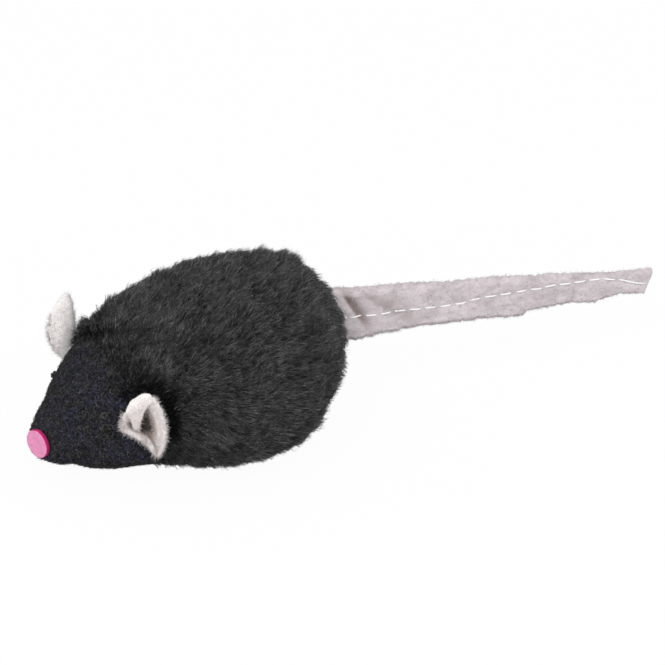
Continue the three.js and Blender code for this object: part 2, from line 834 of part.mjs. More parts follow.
// A lead rises from the board, bows outwards and meets the underside of the speaker
function wireGeometry(side) {
  const bottom = boardTop + seatGap;
  const top = speakerBottom - seatGap;
  const rise = top - bottom;
  const place = ceramicDiameter / 4;
  const route = new THREE.CatmullRomCurve3([
    new THREE.Vector3(place, side * wireReach, bottom),
    new THREE.Vector3(place, side * wireReach, bottom + rise / 8),
    new THREE.Vector3(place + rise / 2, side * (wireReach - rise / 8), bottom + rise / 2),
    new THREE.Vector3(place, side * (wireReach - rise / 4), top - rise / 8),
    new THREE.Vector3(place, side * (wireReach - rise / 4), top),
  ]);
  const section = new THREE.Shape();
  section.absarc(0, 0, wireDiameter / 2, 0, 2 * Math.PI);
  return new THREE.ExtrudeGeometry(section, {
    steps: wireSteps,
    curveSegments: wireSides / 2,
    bevelEnabled: false,
    extrudePath: route,
  });
}

addPiece("module_case_base", caseBase(), plasticWhite, module);
addPiece("module_case_lid", caseLid(), plasticWhite, module);
cellPlaces.forEach((place, index) => {
  const cell = addPiece(`button_cell_${index + 1}`, buttonCell(), steel, module);
  cell.position.set(place.x, place.y, 0);
});
addPiece(
  "contact_strap_lower",
  strapGeometry(cellPlaces[0], cellPlaces[1], caseWall + seatGap),
  steel,
  module,
);
addPiece(
  "contact_strap_upper",
  strapGeometry(cellPlaces[1], cellPlaces[2], cellTop + seatGap),
  steel,
  module,
);
const board = uprightCylinder(boardRadius, boardFloor, boardTop, 2 * roundSides);
addPiece("circuit_board", board, boardGreen, module);
const blob = addPiece("chip_blob", chipBlob(), epoxyBlack, module);
blob.position.set(-chipDiameter / 2, chipDiameter / 2, 0);
addPiece("piezo_speaker", speakerGeometry(), brass, module);
addPiece("motion_switch_pin", switchPin(), steel, module);
addPiece("motion_switch_spring", springGeometry(), steel, module);
addPiece("wire_red", wireGeometry(1), wireCoatRed, module);
addPiece("wire_black", wireGeometry(-1), wireCoatBlack, module);

export default mouse;
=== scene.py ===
"""A squeaky mouse for a cat, dressed in plush pile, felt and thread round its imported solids.

Shapes are worked out in millimetres in the frame of the part: +X from nose to tail, +Z up, the
mouse's left side towards -Y and the origin in the middle of the flat belly. Each piece is a
surface of two parameters, a profile carried along a path, or many tapered hairs, computed as
whole arrays.
"""

import math

import bmesh
import bpy
import numpy as np
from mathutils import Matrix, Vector


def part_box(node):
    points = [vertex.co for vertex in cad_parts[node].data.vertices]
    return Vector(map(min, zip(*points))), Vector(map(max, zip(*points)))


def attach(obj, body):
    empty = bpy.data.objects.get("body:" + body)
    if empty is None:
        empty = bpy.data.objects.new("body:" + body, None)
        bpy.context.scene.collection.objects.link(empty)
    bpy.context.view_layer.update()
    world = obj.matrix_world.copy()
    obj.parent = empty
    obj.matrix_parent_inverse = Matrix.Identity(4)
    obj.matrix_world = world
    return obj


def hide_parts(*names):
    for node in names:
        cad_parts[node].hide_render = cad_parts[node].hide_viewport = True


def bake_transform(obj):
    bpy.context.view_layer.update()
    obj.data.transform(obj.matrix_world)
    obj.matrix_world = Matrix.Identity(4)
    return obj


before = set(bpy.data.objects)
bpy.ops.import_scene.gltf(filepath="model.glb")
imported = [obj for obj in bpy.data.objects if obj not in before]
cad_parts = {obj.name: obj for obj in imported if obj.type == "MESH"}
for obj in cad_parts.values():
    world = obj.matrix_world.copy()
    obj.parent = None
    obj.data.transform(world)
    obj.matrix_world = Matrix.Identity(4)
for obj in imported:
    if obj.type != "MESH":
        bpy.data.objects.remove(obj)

bl_info = {
    "name": "Squeaky mouse",
    "version": (1, 0, 0),
    "blender": (4, 5, 0),
    "location": "View3D > Sidebar > Squeaky mouse",
    "description": "Plush, felt, thread and sound module of a squeaky mouse for a cat",
    "category": "Add Mesh",
}

MM = 0.001
TURN = 2 * np.pi
HAIR_MAP = "OFBake"
# Attribute that carries the painted shade in the ears' cups and the tail's creases, by depth from 0
# to 1
PAINTED_SHADE_MAP = "painted_depth_shade"

# Outline of the stuffed body at twelve stations from nose to rump, in shares: the back line's
# place along the length and up the height, the belly line's, and the half width
OUTLINE_SHARES = np.array([
    [-0.004, 0.3, -0.005, 0.11, 0.17], [0.055, 0.43, 0.073, 0.085, 0.315],
    [0.124, 0.575, 0.182, 0.035, 0.51], [0.2, 0.71, 0.333, 0.022, 0.67],
    [0.283, 0.85, 0.437, -0.014, 0.83], [0.43, 0.915, 0.54, -0.014, 0.96],
    [0.6, 0.98, 0.667, -0.014, 0.975], [0.755, 1.0, 0.785, 0.01, 0.85],
    [0.87, 0.975, 0.876, 0.105, 0.645], [0.94, 0.845, 0.944, 0.245, 0.43],
    [0.987, 0.685, 0.987, 0.383, 0.21], [1.0, 0.537, 1.0, 0.537, 0.0],
])
# Stations of the rump's end, of the neck seam, of the full pile and of the full flat belly
RUMP = len(OUTLINE_SHARES) - 1
SEAM, SHOULDER, FLAT_BELLY = 3.0, 4.4, 5.0
# How high up its section the body is widest, and how much squarer than an ellipse it is
WIDEST_HEIGHT_SHARE = 0.45
BACK_SQUARENESS, BELLY_SQUARENESS = 0.075, 0.3
# Step in station and angle from which the skin's directions are taken
PROBE = 0.01

# The plush's edge along the neck seam and the furrow behind it: angles round the body from its
# right side over the top, and the station of each
EDGE_ANGLES = [0.0, 0.8, 1.17, 1.39, 1.61, 1.75, 1.92, 2.09, 2.3, 3.1, 3.5, TURN]
EDGE_STATIONS = [2.9, 2.85, 2.76, 2.82, 2.93, 2.98, 2.82, 2.68, 2.66, 2.95, 2.97, 2.97]
FURROW_ANGLES = [0.75, 1.27, 1.54, 1.68, 1.73, 1.85]
FURROW_STATIONS = [2.97, 3.04, 3.36, 3.68, 4.0, 4.18]

# Height up to which the underside has no pile, and the least heights of the pile's roots,
# bends and tips
BARE_UNDERSIDE, ROOT_FLOOR, BEND_FLOOR, TIP_FLOOR = 1.2, 1.6, 0.35, 0.15

# Fold line along the cheeks
CREASE_HEIGHT, CREASE_WIDTH, CREASE_DEPTH = 7.6, 0.45, 0.6

# Direction that the nose disc faces, and the middle of its seat on the felt
NOSE_AXIS = np.array([-0.951, -0.309, 0.0])
NOSE_AXIS /= np.linalg.norm(NOSE_AXIS)
NOSE_SEAT = np.array([-31.0, 0.0, 7.35])

# Felt ears: the rim of each from the pinched base up the rear edge, over the tip and down the
# front to the lower lip, in shares of width, width and height: back, out and up. Then the
# pocket's deepest point and the tip of the flap that is folded into the cup
LEFT_RIM_SHARES = np.array([
    [-0.02, 0.05, 0.0], [-0.08, 0.55, 0.34], [-0.11, 0.61, 0.57], [-0.22, 0.58, 0.81],
    [-0.45, 0.48, 1.0], [-0.73, 0.3, 0.89], [-0.82, 0.12, 0.74], [-0.94, 0.07, 0.56],
    [-0.9, 0.12, 0.47], [-0.66, 0.26, 0.4], [-0.39, 0.35, 0.28],
])
RIGHT_RIM_SHARES = np.array([
    [-0.02, 0.05, 0.0], [-0.12, 0.54, 0.35], [-0.12, 0.61, 0.64], [-0.2, 0.57, 0.85],
    [-0.33, 0.48, 1.0], [-0.59, 0.32, 0.96], [-0.8, 0.18, 0.89], [-0.92, 0.11, 0.73],
    [-0.88, 0.13, 0.585], [-0.72, 0.23, 0.41], [-0.48, 0.29, 0.25],
])
LEFT_CUP_SHARES = np.array([[-0.4, -0.05, 0.4], [-0.62, 0.17, 0.48]])
RIGHT_CUP_SHARES = np.array([[-0.42, -0.05, 0.45], [-0.6, 0.19, 0.56]])
# How far each flap hangs, the flap's middle and its reach to both sides in turns of the rim,
# the middle of the left ear's sewn base, and the heights over it between which the felt bends
LEFT_HANG, RIGHT_HANG = 1.0, 0.5
FLAP_TURN, FLAP_FRONT, FLAP_REAR = 5.1 / 11, 1.2 / 11, 1.5 / 11
EAR_ROOT = np.array([-13.97, -16.15, 9.27])
EAR_BEND = (-0.6, 3.0)

# Tail: its height at even steps from root to tip, how far below the fold the stitch line runs,
# both as shares. Then the root of its middle line, the length tucked in under the plush, and
# half the width of the slit between its two layers
TAIL_HEIGHT_SHARES = np.array([1.0, 0.91, 0.81, 0.715, 0.715, 0.65, 0.56, 0.475, 0.42])
STITCH_DROP_SHARES = np.array([0.54, 0.545, 0.555, 0.545, 0.44, 0.33, 0.245, 0.185, 0.55])
TAIL_ROOT = np.array([29.6, 0.0, 20.75])
TAIL_TUCK, TAIL_SLIT = 2.1, 0.15

# Where the tail's felt bends over its hinge, and the felt sheets' sizes laid flat, in metres
TAIL_BEND_START, TAIL_BEND_END = (0.0315, 0, 0.0206), (0.046, 0, 0.0206)
TAIL_FLAT, TAIL_AREA, EAR_FLAT = (0.0228, 0.0695), 0.00112, (0.015, 0.02)

# The tail's creases: place along it, how far back they run for each millimetre down, width, depth
TAIL_CREASES = (
    (1.6, 0.75, 0.9, 1.0), (4.6, 1.5, 1.7, 0.4), (29.2, 0.1, 0.6, 0.15),
    (42.4, 0.1, 0.5, 0.14), (51.8, 0.05, 0.5, 0.2),
)


def linear(code):
    """Turns an sRGB hex code such as b9bcc0 into linear red, green and blue."""
    parts = [int(code[place : place + 2], 16) / 255 for place in (0, 2, 4)]
    return tuple(c / 12.92 if c <= 0.04045 else ((c + 0.055) / 1.055) ** 2.4 for c in parts)


def number_setting(name, description, value, **unit):
    """A number that the sidebar shows."""
    return bpy.props.FloatProperty(name=name, description=description, default=value, **unit)


def length_setting(name, description, millimetres):
    """A length that the sidebar shows, given in millimetres."""
    return number_setting(name, description, millimetres * MM, unit="LENGTH", precision=4)


def colour_setting(name, description, code):
    """A colour that the sidebar shows, given as an sRGB hex code."""
    return bpy.props.FloatVectorProperty(
        name=name, description=description, default=linear(code), subtype="COLOR", min=0, max=1
    )


class MouseBodySettings(bpy.types.PropertyGroup):
    length: length_setting("Length", "Nose to rump of the stuffed body", 63)
    height: length_setting("Height", "Height of the stuffed body", 35)
    width: length_setting("Width", "Width of the stuffed body, pile included", 47)
    felt: length_setting("Head felt", "Thickness of the felt on the head", 1.0)
    backing: length_setting("Plush backing", "Thickness of the cloth that carries the pile", 1.5)
    hem: length_setting("Hem height", "Height where the covers meet the belly panel", 1.5)
    black: colour_setting("Felt black", "Ground colour of the head's felt", "1e1f1e")
    navy: colour_setting("Felt navy", "Colour of the navy fibres in the head's felt", "201f30")


class MousePileSettings(bpy.types.PropertyGroup):
    length: length_setting("Pile length", "Length of a hair of the plush", 3.5)
    depth: length_setting("Pile depth", "Depth from the pile's tips to its backing", 1.9)
    hair: length_setting("Hair width", "Width of a hair at its root", 0.11)
    lift: number_setting(
        "Lift", "Angle between a hair and the cloth", math.radians(33), subtype="ANGLE"
    )
    count: bpy.props.IntProperty(
        name="Hairs", description="Number of hairs of the plush", default=130000, min=1000
    )
    dark: colour_setting("Dark hairs", "Colour of the darkest hairs", "0e0e0e")
    light: colour_setting("Light hairs", "Colour of the lightest hairs", "9d9d9d")


class MouseEarSettings(bpy.types.PropertyGroup):
    width: length_setting("Ear width", "Width of an ear, base to front", 8)
    left_height: length_setting("Left ear height", "Height of the left ear", 15.7)
    right_height: length_setting("Right ear height", "Height of the right ear", 16.7)
    cup: length_setting("Cup depth", "How far an ear's walls bulge towards the head", 1.1)
    felt: length_setting("Ear felt", "Thickness of the ears' felt", 0.9)
    grey: colour_setting("Ear felt colour", "Ground colour of the ears' felt", "fff9f7")


class MouseTailSettings(bpy.types.PropertyGroup):
    length: length_setting("Tail length", "Length of the tail from the rump", 66.4)
    droop: length_setting("Tail droop", "How much lower the tail's tip is than its root", 8.6)
    height: length_setting("Tail height", "Height of the folded strip at its root", 11.4)
    felt: length_setting("Tail felt", "Thickness of the tail's felt", 1.0)
    stitch: length_setting("Stitch length", "Length of one running stitch", 2.45)
    pitch: length_setting("Stitch pitch", "Distance from one stitch to the next", 3.19)
    grey: colour_setting("Tail felt colour", "Ground colour of the tail's felt", "ddd4d8")


class MouseFaceSettings(bpy.types.PropertyGroup):
    nose: length_setting("Nose diameter", "Diameter of the felt nose disc", 5.7)
    nose_felt: length_setting("Nose felt", "Thickness of the nose disc", 1.0)
    pink: colour_setting("Felt pink", "Colour of the nose disc's face", "ee98c3")
    edge: colour_setting("Edge pink", "Colour of the nose disc's cut edge", "d42277")
    eye: length_setting("Eye knot", "Width of the knotted thread of an eye", 1.45)


class MouseStageSettings(bpy.types.PropertyGroup):
    azimuth: number_setting(
        "Camera azimuth", "Camera's direction round the mouse", math.radians(-25), subtype="ANGLE"
    )
    elevation: number_setting(
        "Camera elevation", "Camera's height over the horizon", math.radians(30), subtype="ANGLE"
    )
    distance: number_setting("Camera distance", "Camera to target", 5.0, unit="LENGTH")
    view_width: length_setting("View width", "Width of the view at the target", 127.9)
    key: number_setting("Key lamp", "Power of the large lamp", 4.5, unit="POWER")
    fill: number_setting("Fill lamp", "Power of the second lamp", 1.2, unit="POWER")
    world: number_setting("World light", "Strength of the light from all round", 0.66)


# Arithmetic on arrays


def smooth_step(value, start, end):
    """0 up to start, 1 from end, and between them three squares less two cubes of the share."""
    share = np.clip((value - start) / (end - start), 0, 1)
    return share * share * (3 - 2 * share)


def bump(value, middle, width):
    """1 at the middle, falling to both sides as e to the minus square of the distance."""
    return np.exp(-(((value - middle) / width) ** 2))


def mix(start, end, share):
    """The straight mixture of start and end."""
    return start + (end - start) * share


def unit(vectors):
    """Each vector divided by its length."""
    return vectors / np.maximum(np.linalg.norm(vectors, axis=-1, keepdims=True), 1e-9)


def sided(points, flip):
    """The points, on the other side of the mouse where flip is -1."""
    return points * np.array([1.0, flip, 1.0])


def circle(side, other, count):
    """Directions evenly round: side times the cosine of the angle plus other times its sine."""
    angle = (np.arange(count) * TURN / count)[:, None]
    return side[..., None, :] * np.cos(angle) + other[..., None, :] * np.sin(angle)


def through(rows, place, closed=False):
    """Cubic through evenly spaced rows: it leaves each row along half the line that joins the
    rows before and after it. Each row is one point, or one point for each place."""
    count = len(rows)
    if closed:
        here = np.floor(place).astype(int)
    else:
        place = np.clip(place, 0, count - 1)
        here = np.minimum(place.astype(int), count - 2)
    t = (place - here)[..., None]

    def row(step):
        index = (here + step) % count if closed else np.clip(here + step, 0, count - 1)
        if rows.ndim == 2:
            return rows[index]
        return np.take_along_axis(rows, index[None, ..., None], 0)[0]

    before, start, end, after = (row(step) for step in range(-1, 3))
    leave, arrive = (end - before) / 2, (after - start) / 2
    cube = 2 * (start - end) + leave + arrive
    square = 3 * (end - start) - 2 * leave - arrive
    return ((cube * t + square) * t + leave) * t + start


def drift(points, size, seed, waves=14):
    """Smooth random field of mostly -1 to 1: the sum of plane waves about one size long, each
    with its own seeded direction, length and phase."""
    chance = np.random.default_rng(seed)
    directions = unit(chance.normal(size=(waves, 3)))
    lengths = size * chance.uniform(0.7, 1.4, (waves, 1))
    phases = chance.uniform(0, TURN, waves)
    return np.sin(points @ (directions / lengths).T * TURN + phases).sum(-1) / math.sqrt(waves)


def cell_areas(points):
    """Area of each cell of a grid of points: the length of its two sides' cross product."""
    down, right = np.diff(points, axis=0)[:, :-1], np.diff(points, axis=1)[:-1]
    return np.linalg.norm(np.cross(down, right), axis=-1)


def scattered(points, count, chance, weight=1.0):
    """Places spread evenly over a grid of points: cells are drawn by their area times weight,
    and each place lies at random in its cell. Gives row and column numbers with fractions."""
    area = cell_areas(points) * weight
    share = np.cumsum(area.ravel() / area.sum())
    cell = np.minimum(np.searchsorted(share, chance.random(count)), area.size - 1)
    row, column = np.divmod(cell, area.shape[1])
    return row + chance.random(count), column + chance.random(count)


# The skin of the stuffed body


def skin(station, angle):
    """Point of the stuffed body. Each station holds a superellipse that stands on the line from
    the belly curve to the back curve and is widest a little below its middle: sideways it is the
    half width times a power of the cosine, and upwards a power of the sine."""
    body = bpy.context.scene.mouse_body
    station, angle = np.broadcast_arrays(np.asarray(station, float), np.asarray(angle, float))
    row = through(OUTLINE_SHARES, station)
    lower = BELLY_SQUARENESS * smooth_step(station, SEAM, FLAT_BELLY)
    sine, cosine = np.sin(angle), np.cos(angle)
    power = 1 / (1 + np.where(sine > 0, BACK_SQUARENESS, lower))
    reach = np.where(sine > 0, 1 - WIDEST_HEIGHT_SHARE, WIDEST_HEIGHT_SHARE)
    up = WIDEST_HEIGHT_SHARE + reach * np.sign(sine) * np.abs(sine) ** power
    length, height, width = (size / MM for size in (body.length, body.height, body.width))
    along = mix(row[..., 2], row[..., 0], up) * length - length / 2
    across = row[..., 4] * width / 2 * np.sign(cosine) * np.abs(cosine) ** power
    return np.stack([along, across, mix(row[..., 3], row[..., 1], up) * height], -1)


def skin_directions(station, angle):
    """Outward and tailward directions of the skin, from small steps to both sides."""
    inside = np.minimum(station, RUMP - 3 * PROBE)
    tailward = skin(inside + PROBE, angle) - skin(inside - PROBE, angle)
    around = skin(inside, angle + PROBE) - skin(inside, angle - PROBE)
    return unit(np.cross(around, tailward)), unit(tailward)


def pile_depth(station):
    """Depth of the plush's backing: shallow at the neck seam, full past the shoulders."""
    depth = bpy.context.scene.mouse_pile.depth / MM
    return depth * mix(0.25, 1, smooth_step(station, SEAM, SHOULDER))


def kept_above(points, height):
    """The points, with those lower than height pressed flat onto it."""
    return np.concatenate([points[..., :2], np.maximum(points[..., 2:], height)], -1)


# Meshes from arrays


def linked(name, data):
    """A new object in the scene."""
    made = bpy.data.objects.new(name, data)
    bpy.context.scene.collection.objects.link(made)
    return made


def new_piece(name, points, corners, sizes, material, uv=None):
    """Mesh object from points in millimetres, the corner numbers of all its faces in a row and
    the corner count of each face. A closed shape that comes out inside out is turned."""
    first = np.concatenate([[0], np.cumsum(sizes)[:-1]])
    centred = points - points.mean(0)
    one, two, three = (centred[corners[first + step]] for step in range(3))
    four = centred[corners[first + sizes - 1]]
    if (one * (np.cross(two, three) + np.cross(three, four))).sum() < 0:
        face = np.repeat(np.arange(len(sizes)), sizes)
        turned = 2 * first[face] + sizes[face] - 1 - np.arange(len(corners))
        corners = corners[turned]
        uv = None if uv is None else uv[turned]
    mesh = bpy.data.meshes.new(name)
    mesh.vertices.add(len(points))
    mesh.vertices.foreach_set("co", (points * MM).astype(np.float32).ravel())
    mesh.loops.add(len(corners))
    mesh.loops.foreach_set("vertex_index", corners.astype(np.int32))
    mesh.polygons.add(len(sizes))
    mesh.polygons.foreach_set("loop_start", first.astype(np.int32))
    mesh.polygons.foreach_set("use_smooth", np.ones(len(sizes), bool))
    if uv is not None:
        layer = mesh.uv_layers.new(name=HAIR_MAP)
        layer.data.foreach_set("uv", uv.astype(np.float32).ravel())
    mesh.update(calc_edges=True)
    mesh.validate()
    mesh.materials.append(material)
    return linked(name, mesh)


def ring_faces(rings, sides, closed=False):
    """Corner numbers and counts of a skin over rings of points: four-cornered faces between the
    rings, and either back to the first ring, or fans to one point for each end after them."""
    count = rings if closed else rings - 1
    ring, side = np.meshgrid(np.arange(count), np.arange(sides), indexing="ij")
    here, after, beside = ring * sides, (ring + 1) % rings * sides, (side + 1) % sides
    faces = [np.stack([here + side, here + beside, after + beside, after + side], -1).ravel()]
    sizes = [np.full(count * sides, 4)]
    if not closed:
        edge, turn, last = np.arange(sides), (np.arange(sides) + 1) % sides, count * sides
        start, end = np.full(sides, rings * sides), np.full(sides, rings * sides + 1)
        faces.append(np.stack([start, turn, edge], -1).ravel())
        faces.append(np.stack([end, last + edge, last + turn], -1).ravel())
        sizes.append(np.full(2 * sides, 3))
    return np.concatenate(faces), np.concatenate(sizes)


def lofted(name, rings, material):
    """Closed piece over rings of points, each end drawn to the middle of its ring."""
    ends = np.stack([rings[0].mean(0), rings[-1].mean(0)])
    corners, sizes = ring_faces(*rings.shape[:2])
    return new_piece(name, np.concatenate([rings.reshape(-1, 3), ends]), corners, sizes, material)


def paint_depth_shade(piece, depth):
    """Gives each vertex of a lofted piece how deep it lies in a cup or a crease, from 0 to 1,
    which its material turns into a painted shade.
    """
    ends = [depth[0].mean(), depth[-1].mean()]
    layer = piece.data.attributes.new(PAINTED_SHADE_MAP, "FLOAT", "POINT")
    layer.data.foreach_set("value", np.concatenate([depth.ravel(), ends]).astype(np.float32))


def hair_mesh(name, roots, bends, tips, widths, shades, material):
    """Closed tapered hairs: each has three sides, rings at its root and its bend and one point
    at its tip. Its map holds its shade across and the way from root to tip upwards."""
    count = len(roots)
    axis = unit(tips - roots)
    side = unit(np.cross(axis, np.array([0.31, 0.17, 0.93])))
    ring = circle(side, np.cross(axis, side), 3) * widths[:, None, None]
    points = np.concatenate(
        [roots[:, None] + 0.4 * ring, bends[:, None] + 0.5 * ring, tips[:, None]], 1
    )
    # Three faces between the rings, three up to the tip and one at the root
    one = np.array([0, 1, 4, 3, 1, 2, 5, 4, 2, 0, 3, 5, 3, 4, 6, 4, 5, 6, 5, 3, 6, 0, 2, 1])
    across = np.array(
        [0, 1, 1, 0, 1, 2, 2, 1, 2, 3, 3, 2, 0, 1, 0.5, 1, 2, 1.5, 2, 3, 2.5, 0, 3, 1]
    )
    upwards = np.array([0, 0, 0.5, 0.5] * 3 + [0.5, 0.5, 1] * 3 + [0, 0, 0.05])
    corners = (one + 7 * np.arange(count)[:, None]).ravel()
    shade = np.clip(shades, 0, 1)[:, None] * 0.97 + 0.01 * across / 3 + 0.005
    uv = np.stack([shade, np.broadcast_to(upwards, shade.shape)], -1).reshape(-1, 2)
    sizes = np.tile([4, 4, 4, 3, 3, 3, 3], count)
    return new_piece(name, points.reshape(-1, 3), corners, sizes, material, uv)


def fibres(name, places, reach, curl, sunk, widths, shades, material):
    """Loose fibres: each starts sunk below its place, reaches out from it, and is moved by its
    curl half way."""
    bends = places + reach * 0.5 + curl
    return hair_mesh(name, places - sunk, bends, places + reach, widths, shades, material)


def soft_copy(node, name, voxel, rise, sink, size, seed, material):
    """Soft piece on a CAD node's own form: the merged copy is remeshed in voxels, its edges are
    smoothed, and each vertex moves along its normal by rise times a drift less sink."""
    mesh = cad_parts[node].data.copy()
    mesh.name = name
    work = bmesh.new()
    work.from_mesh(mesh)
    bmesh.ops.remove_doubles(work, verts=work.verts, dist=0.001 * MM)
    work.to_mesh(mesh)
    work.free()
    mesh.materials.clear()
    mesh.materials.append(material)
    piece = linked(name, mesh)
    remesh = piece.modifiers.new("Even faces", "REMESH")
    remesh.mode, remesh.voxel_size, remesh.use_smooth_shade = "VOXEL", voxel * MM, True
    soften = piece.modifiers.new("Soft edges", "SMOOTH")
    soften.factor, soften.iterations = 0.5, 4
    bpy.context.view_layer.update()
    graph = bpy.context.evaluated_depsgraph_get()
    mesh = bpy.data.meshes.new_from_object(piece.evaluated_get(graph))
    piece.modifiers.clear()
    piece.data = mesh
    points, normals = (np.empty((len(mesh.vertices), 3), np.float32) for _ in range(2))
    mesh.vertices.foreach_get("co", points.ravel())
    mesh.vertices.foreach_get("normal", normals.ravel())
    offsets = rise * drift(points / MM, size, seed) - sink
    moved = points + normals * (offsets * MM)[:, None]
    mesh.vertices.foreach_set("co", moved.astype(np.float32).ravel())
    mesh.update()
    return piece


def carried(piece, node=None):
    """The piece rides on the mouse's body. It stands for the node, if one is given, which is
    hidden."""
    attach(piece, "mouse")
    if node:
        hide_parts(node)


def sewn_on(cloth, loose, node, body, start, end, **sheet):
    """The sheet and its loose pieces stand for the node, which is hidden, and have their
    transforms baked into their meshes.
    """
    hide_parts(node)
    for piece in (cloth, *loose):
        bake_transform(piece)


# Materials


def add_node(tree, kind, inputs=None, settings=None, stops=None):
    """Adds one node with its settings, its socket values or links and the stops of its ramp, and
    gives its outputs. A stop's colour may be one number, for a grey."""
    node = tree.nodes.new("ShaderNode" + kind)
    for name, value in (settings or {}).items():
        setattr(node, name, value)
    for name, value in (inputs or {}).items():
        if isinstance(value, bpy.types.NodeSocket):
            tree.links.new(value, node.inputs[name])
        else:
            node.inputs[name].default_value = value
    if stops:
        ramp = node.color_ramp
        while len(ramp.elements) < len(stops):
            ramp.elements.new(0.5)
        for element, (place, colour) in zip(ramp.elements, stops):
            element.position = place
            element.color = (*np.broadcast_to(colour, 3), 1)
    return node.outputs


def new_material(name, **values):
    """A material with one shader, whose sockets take the values given here. Gives the material,
    its node tree and the shader."""
    material = bpy.data.materials.new(name)
    material.use_nodes = True
    shader = material.node_tree.nodes["Principled BSDF"]
    for socket, value in values.items():
        shader.inputs[socket.replace("_", " ")].default_value = value
    return material, material.node_tree, shader


def coloured(tree, shader, factors):
    """Each factor picks a colour of its own ramp, and the shader takes their product."""
    layers = [
        add_node(tree, "ValToRGB", {"Fac": factor}, stops=stops)["Color"]
        for factor, stops in factors
    ]
    product = layers[0]
    for layer in layers[1:]:
        settings = {"data_type": "RGBA", "blend_type": "MULTIPLY"}
        product = add_node(tree, "Mix", {0: 1.0, 6: product, 7: layer}, settings)[2]
    tree.links.new(product, shader.inputs["Base Color"])


def shaded(colour, factor):
    """The colour made lighter or darker by a factor."""
    return tuple(min(part * factor, 1) for part in colour)


def pile_material(name, dark, light, root, glints=(0.1, 2.0), **values):
    """Brushed acrylic or polyester fibres: the map's width picks a fibre's own tone, its height
    gives the root a painted shade, where less light gets in, and a noise drawn along the fibre
    paints glints, the short bright stretches of a curled fibre, with darker ones between."""
    material, tree, shader = new_material(name, Roughness=0.9, **values)
    place = add_node(tree, "UVMap", settings={"uv_map": HAIR_MAP})["UV"]
    parts = add_node(tree, "SeparateXYZ", {"Vector": place})
    middle = tuple(mix(low, high, 0.33) for low, high in zip(dark, light))
    own = [(0, dark), (0.5, middle), (1, light)]
    # Painted shade at the root, lightening to the fibre's own colour at the tip
    rise = [(0, root), (0.45, mix(root, 1, 0.6)), (1, 1)]
    # Painted glints: about fifteen short stretches along a fibre, and other ones for each shade
    drawn = add_node(tree, "Mapping", {"Vector": place, "Scale": (260.0, 15.0, 1.0)})["Vector"]
    plane = {"noise_dimensions": "2D"}
    painted_glints = add_node(tree, "TexNoise", {"Vector": drawn, "Scale": 1.0, "Detail": 1.0}, plane)
    bright = [(0.3, glints[0]), (0.7, glints[1])]
    coloured(tree, shader, [(parts["X"], own), (parts["Y"], rise), (painted_glints["Fac"], bright)])
    return material


def grained_material(name, grains, relief, stretch=(1, 1, 1), depths=None, **values):
    """A material on the piece's own coordinates. Each grain is a noise of a real size in
    millimetres, with its detail and distortion, that picks a colour of its ramp, and the
    product of the grains is the colour. The last one also raises the face, by a strength and a
    depth in millimetres. The stretch draws them all out along an axis. The painted shade depths
    are the ramp of a painted shade in a cup or a crease, for a mesh that gives each point its
    depth."""
    material, tree, shader = new_material(name, **values)
    place = add_node(tree, "TexCoord")["Object"]
    place = add_node(tree, "Mapping", {"Vector": place, "Scale": stretch})["Vector"]
    factors = []
    for size_mm, detail, distortion, stops in grains:
        inputs = {"Scale": 1 / (size_mm * MM), "Detail": detail, "Distortion": distortion}
        noise = add_node(tree, "TexNoise", {"Vector": place, **inputs})["Fac"]
        factors.append((noise, stops))
    if depths:
        depth = add_node(tree, "Attribute", settings={"attribute_name": PAINTED_SHADE_MAP})["Fac"]
        factors.append((depth, depths))
    coloured(tree, shader, factors)
    strength, depth_mm = relief
    raised = {"Strength": strength, "Distance": depth_mm * MM, "Height": noise}
    tree.links.new(add_node(tree, "Bump", raised)["Normal"], shader.inputs["Normal"])
    return material


def felt_material(
    name, ground, patches, ends, pits=0.45, patch_mm=1.1, fibre_mm=0.28, spread=0.2, **values
):
    """Needled felt: short fibres lie every way, so the ground colour is broken by soft patches
    about a millimetre wide and by fine fibre ends, which also make its matt, uneven face. Real
    fibres are 0.02 mm thick; they are drawn as bundles wide enough to show."""
    clouds = [(0.36, ground), (0.64, patches)]
    fine = [(0.5 - spread, pits), (0.5, 1), (0.5 + spread, ends)]
    grains = ((patch_mm, 3.0, 0.6, clouds), (fibre_mm, 5.0, 1.8, fine))
    return grained_material(name, grains, (0.55, 0.12), **values)


def moulded_material(name, code, grain_mm, relief_mm, tone=0.12, **values):
    """Moulded, rolled, drawn or spun stock: one colour with a faint change of tone, and a grain
    of its real size that breaks the shine."""
    tones = [(0.3, shaded(linear(code), 1 - tone)), (0.7, shaded(linear(code), 1 + tone))]
    return grained_material(name, ((grain_mm, 3.0, 0.0, tones),), (0.4, relief_mm), **values)


def head_felt():
    """Black needled felt, matt, with single navy and pale fibres in it. Made once for the head
    and the belly."""
    name, body = "Needled felt, black", bpy.context.scene.mouse_body
    return bpy.data.materials.get(name) or felt_material(
        name, tuple(body.black), tuple(body.navy), (4.4, 4.4, 4.3), 0.08, 2.2, 0.5, 0.1,
        Roughness=0.95, Specular_IOR_Level=0.2,
    )


def pale_fibres(name, dark, light):
    """Fibres that stand off pale felt and catch the light all along: their painted glints
    and the painted shade at their roots are faint.
    """
    return pile_material(name, linear(dark), linear(light), root=0.9, glints=(0.92, 1.08))


def grey_felt(name, colour, patches, pits, patch_mm, stretch=(1, 1, 1)):
    """Pale needled felt with a faint warm cast. It takes a painted shade, brown and nearly black
    at the deepest, from the depth that its mesh gives each point, as deep in a cup or a crease."""
    return felt_material(
        name, colour, shaded(colour, patches), 1.06, pits, patch_mm, 0.4, stretch=stretch,
        # Painted shade by depth: brown, nearly black at the deepest
        depths=[(0, 1), (0.4, (0.5, 0.43, 0.4)), (0.9, (0.04, 0.024, 0.02))],
        Roughness=0.95, Sheen_Weight=0.3, Sheen_Roughness=0.5,
    )


# Operators, one for each piece or group of like pieces


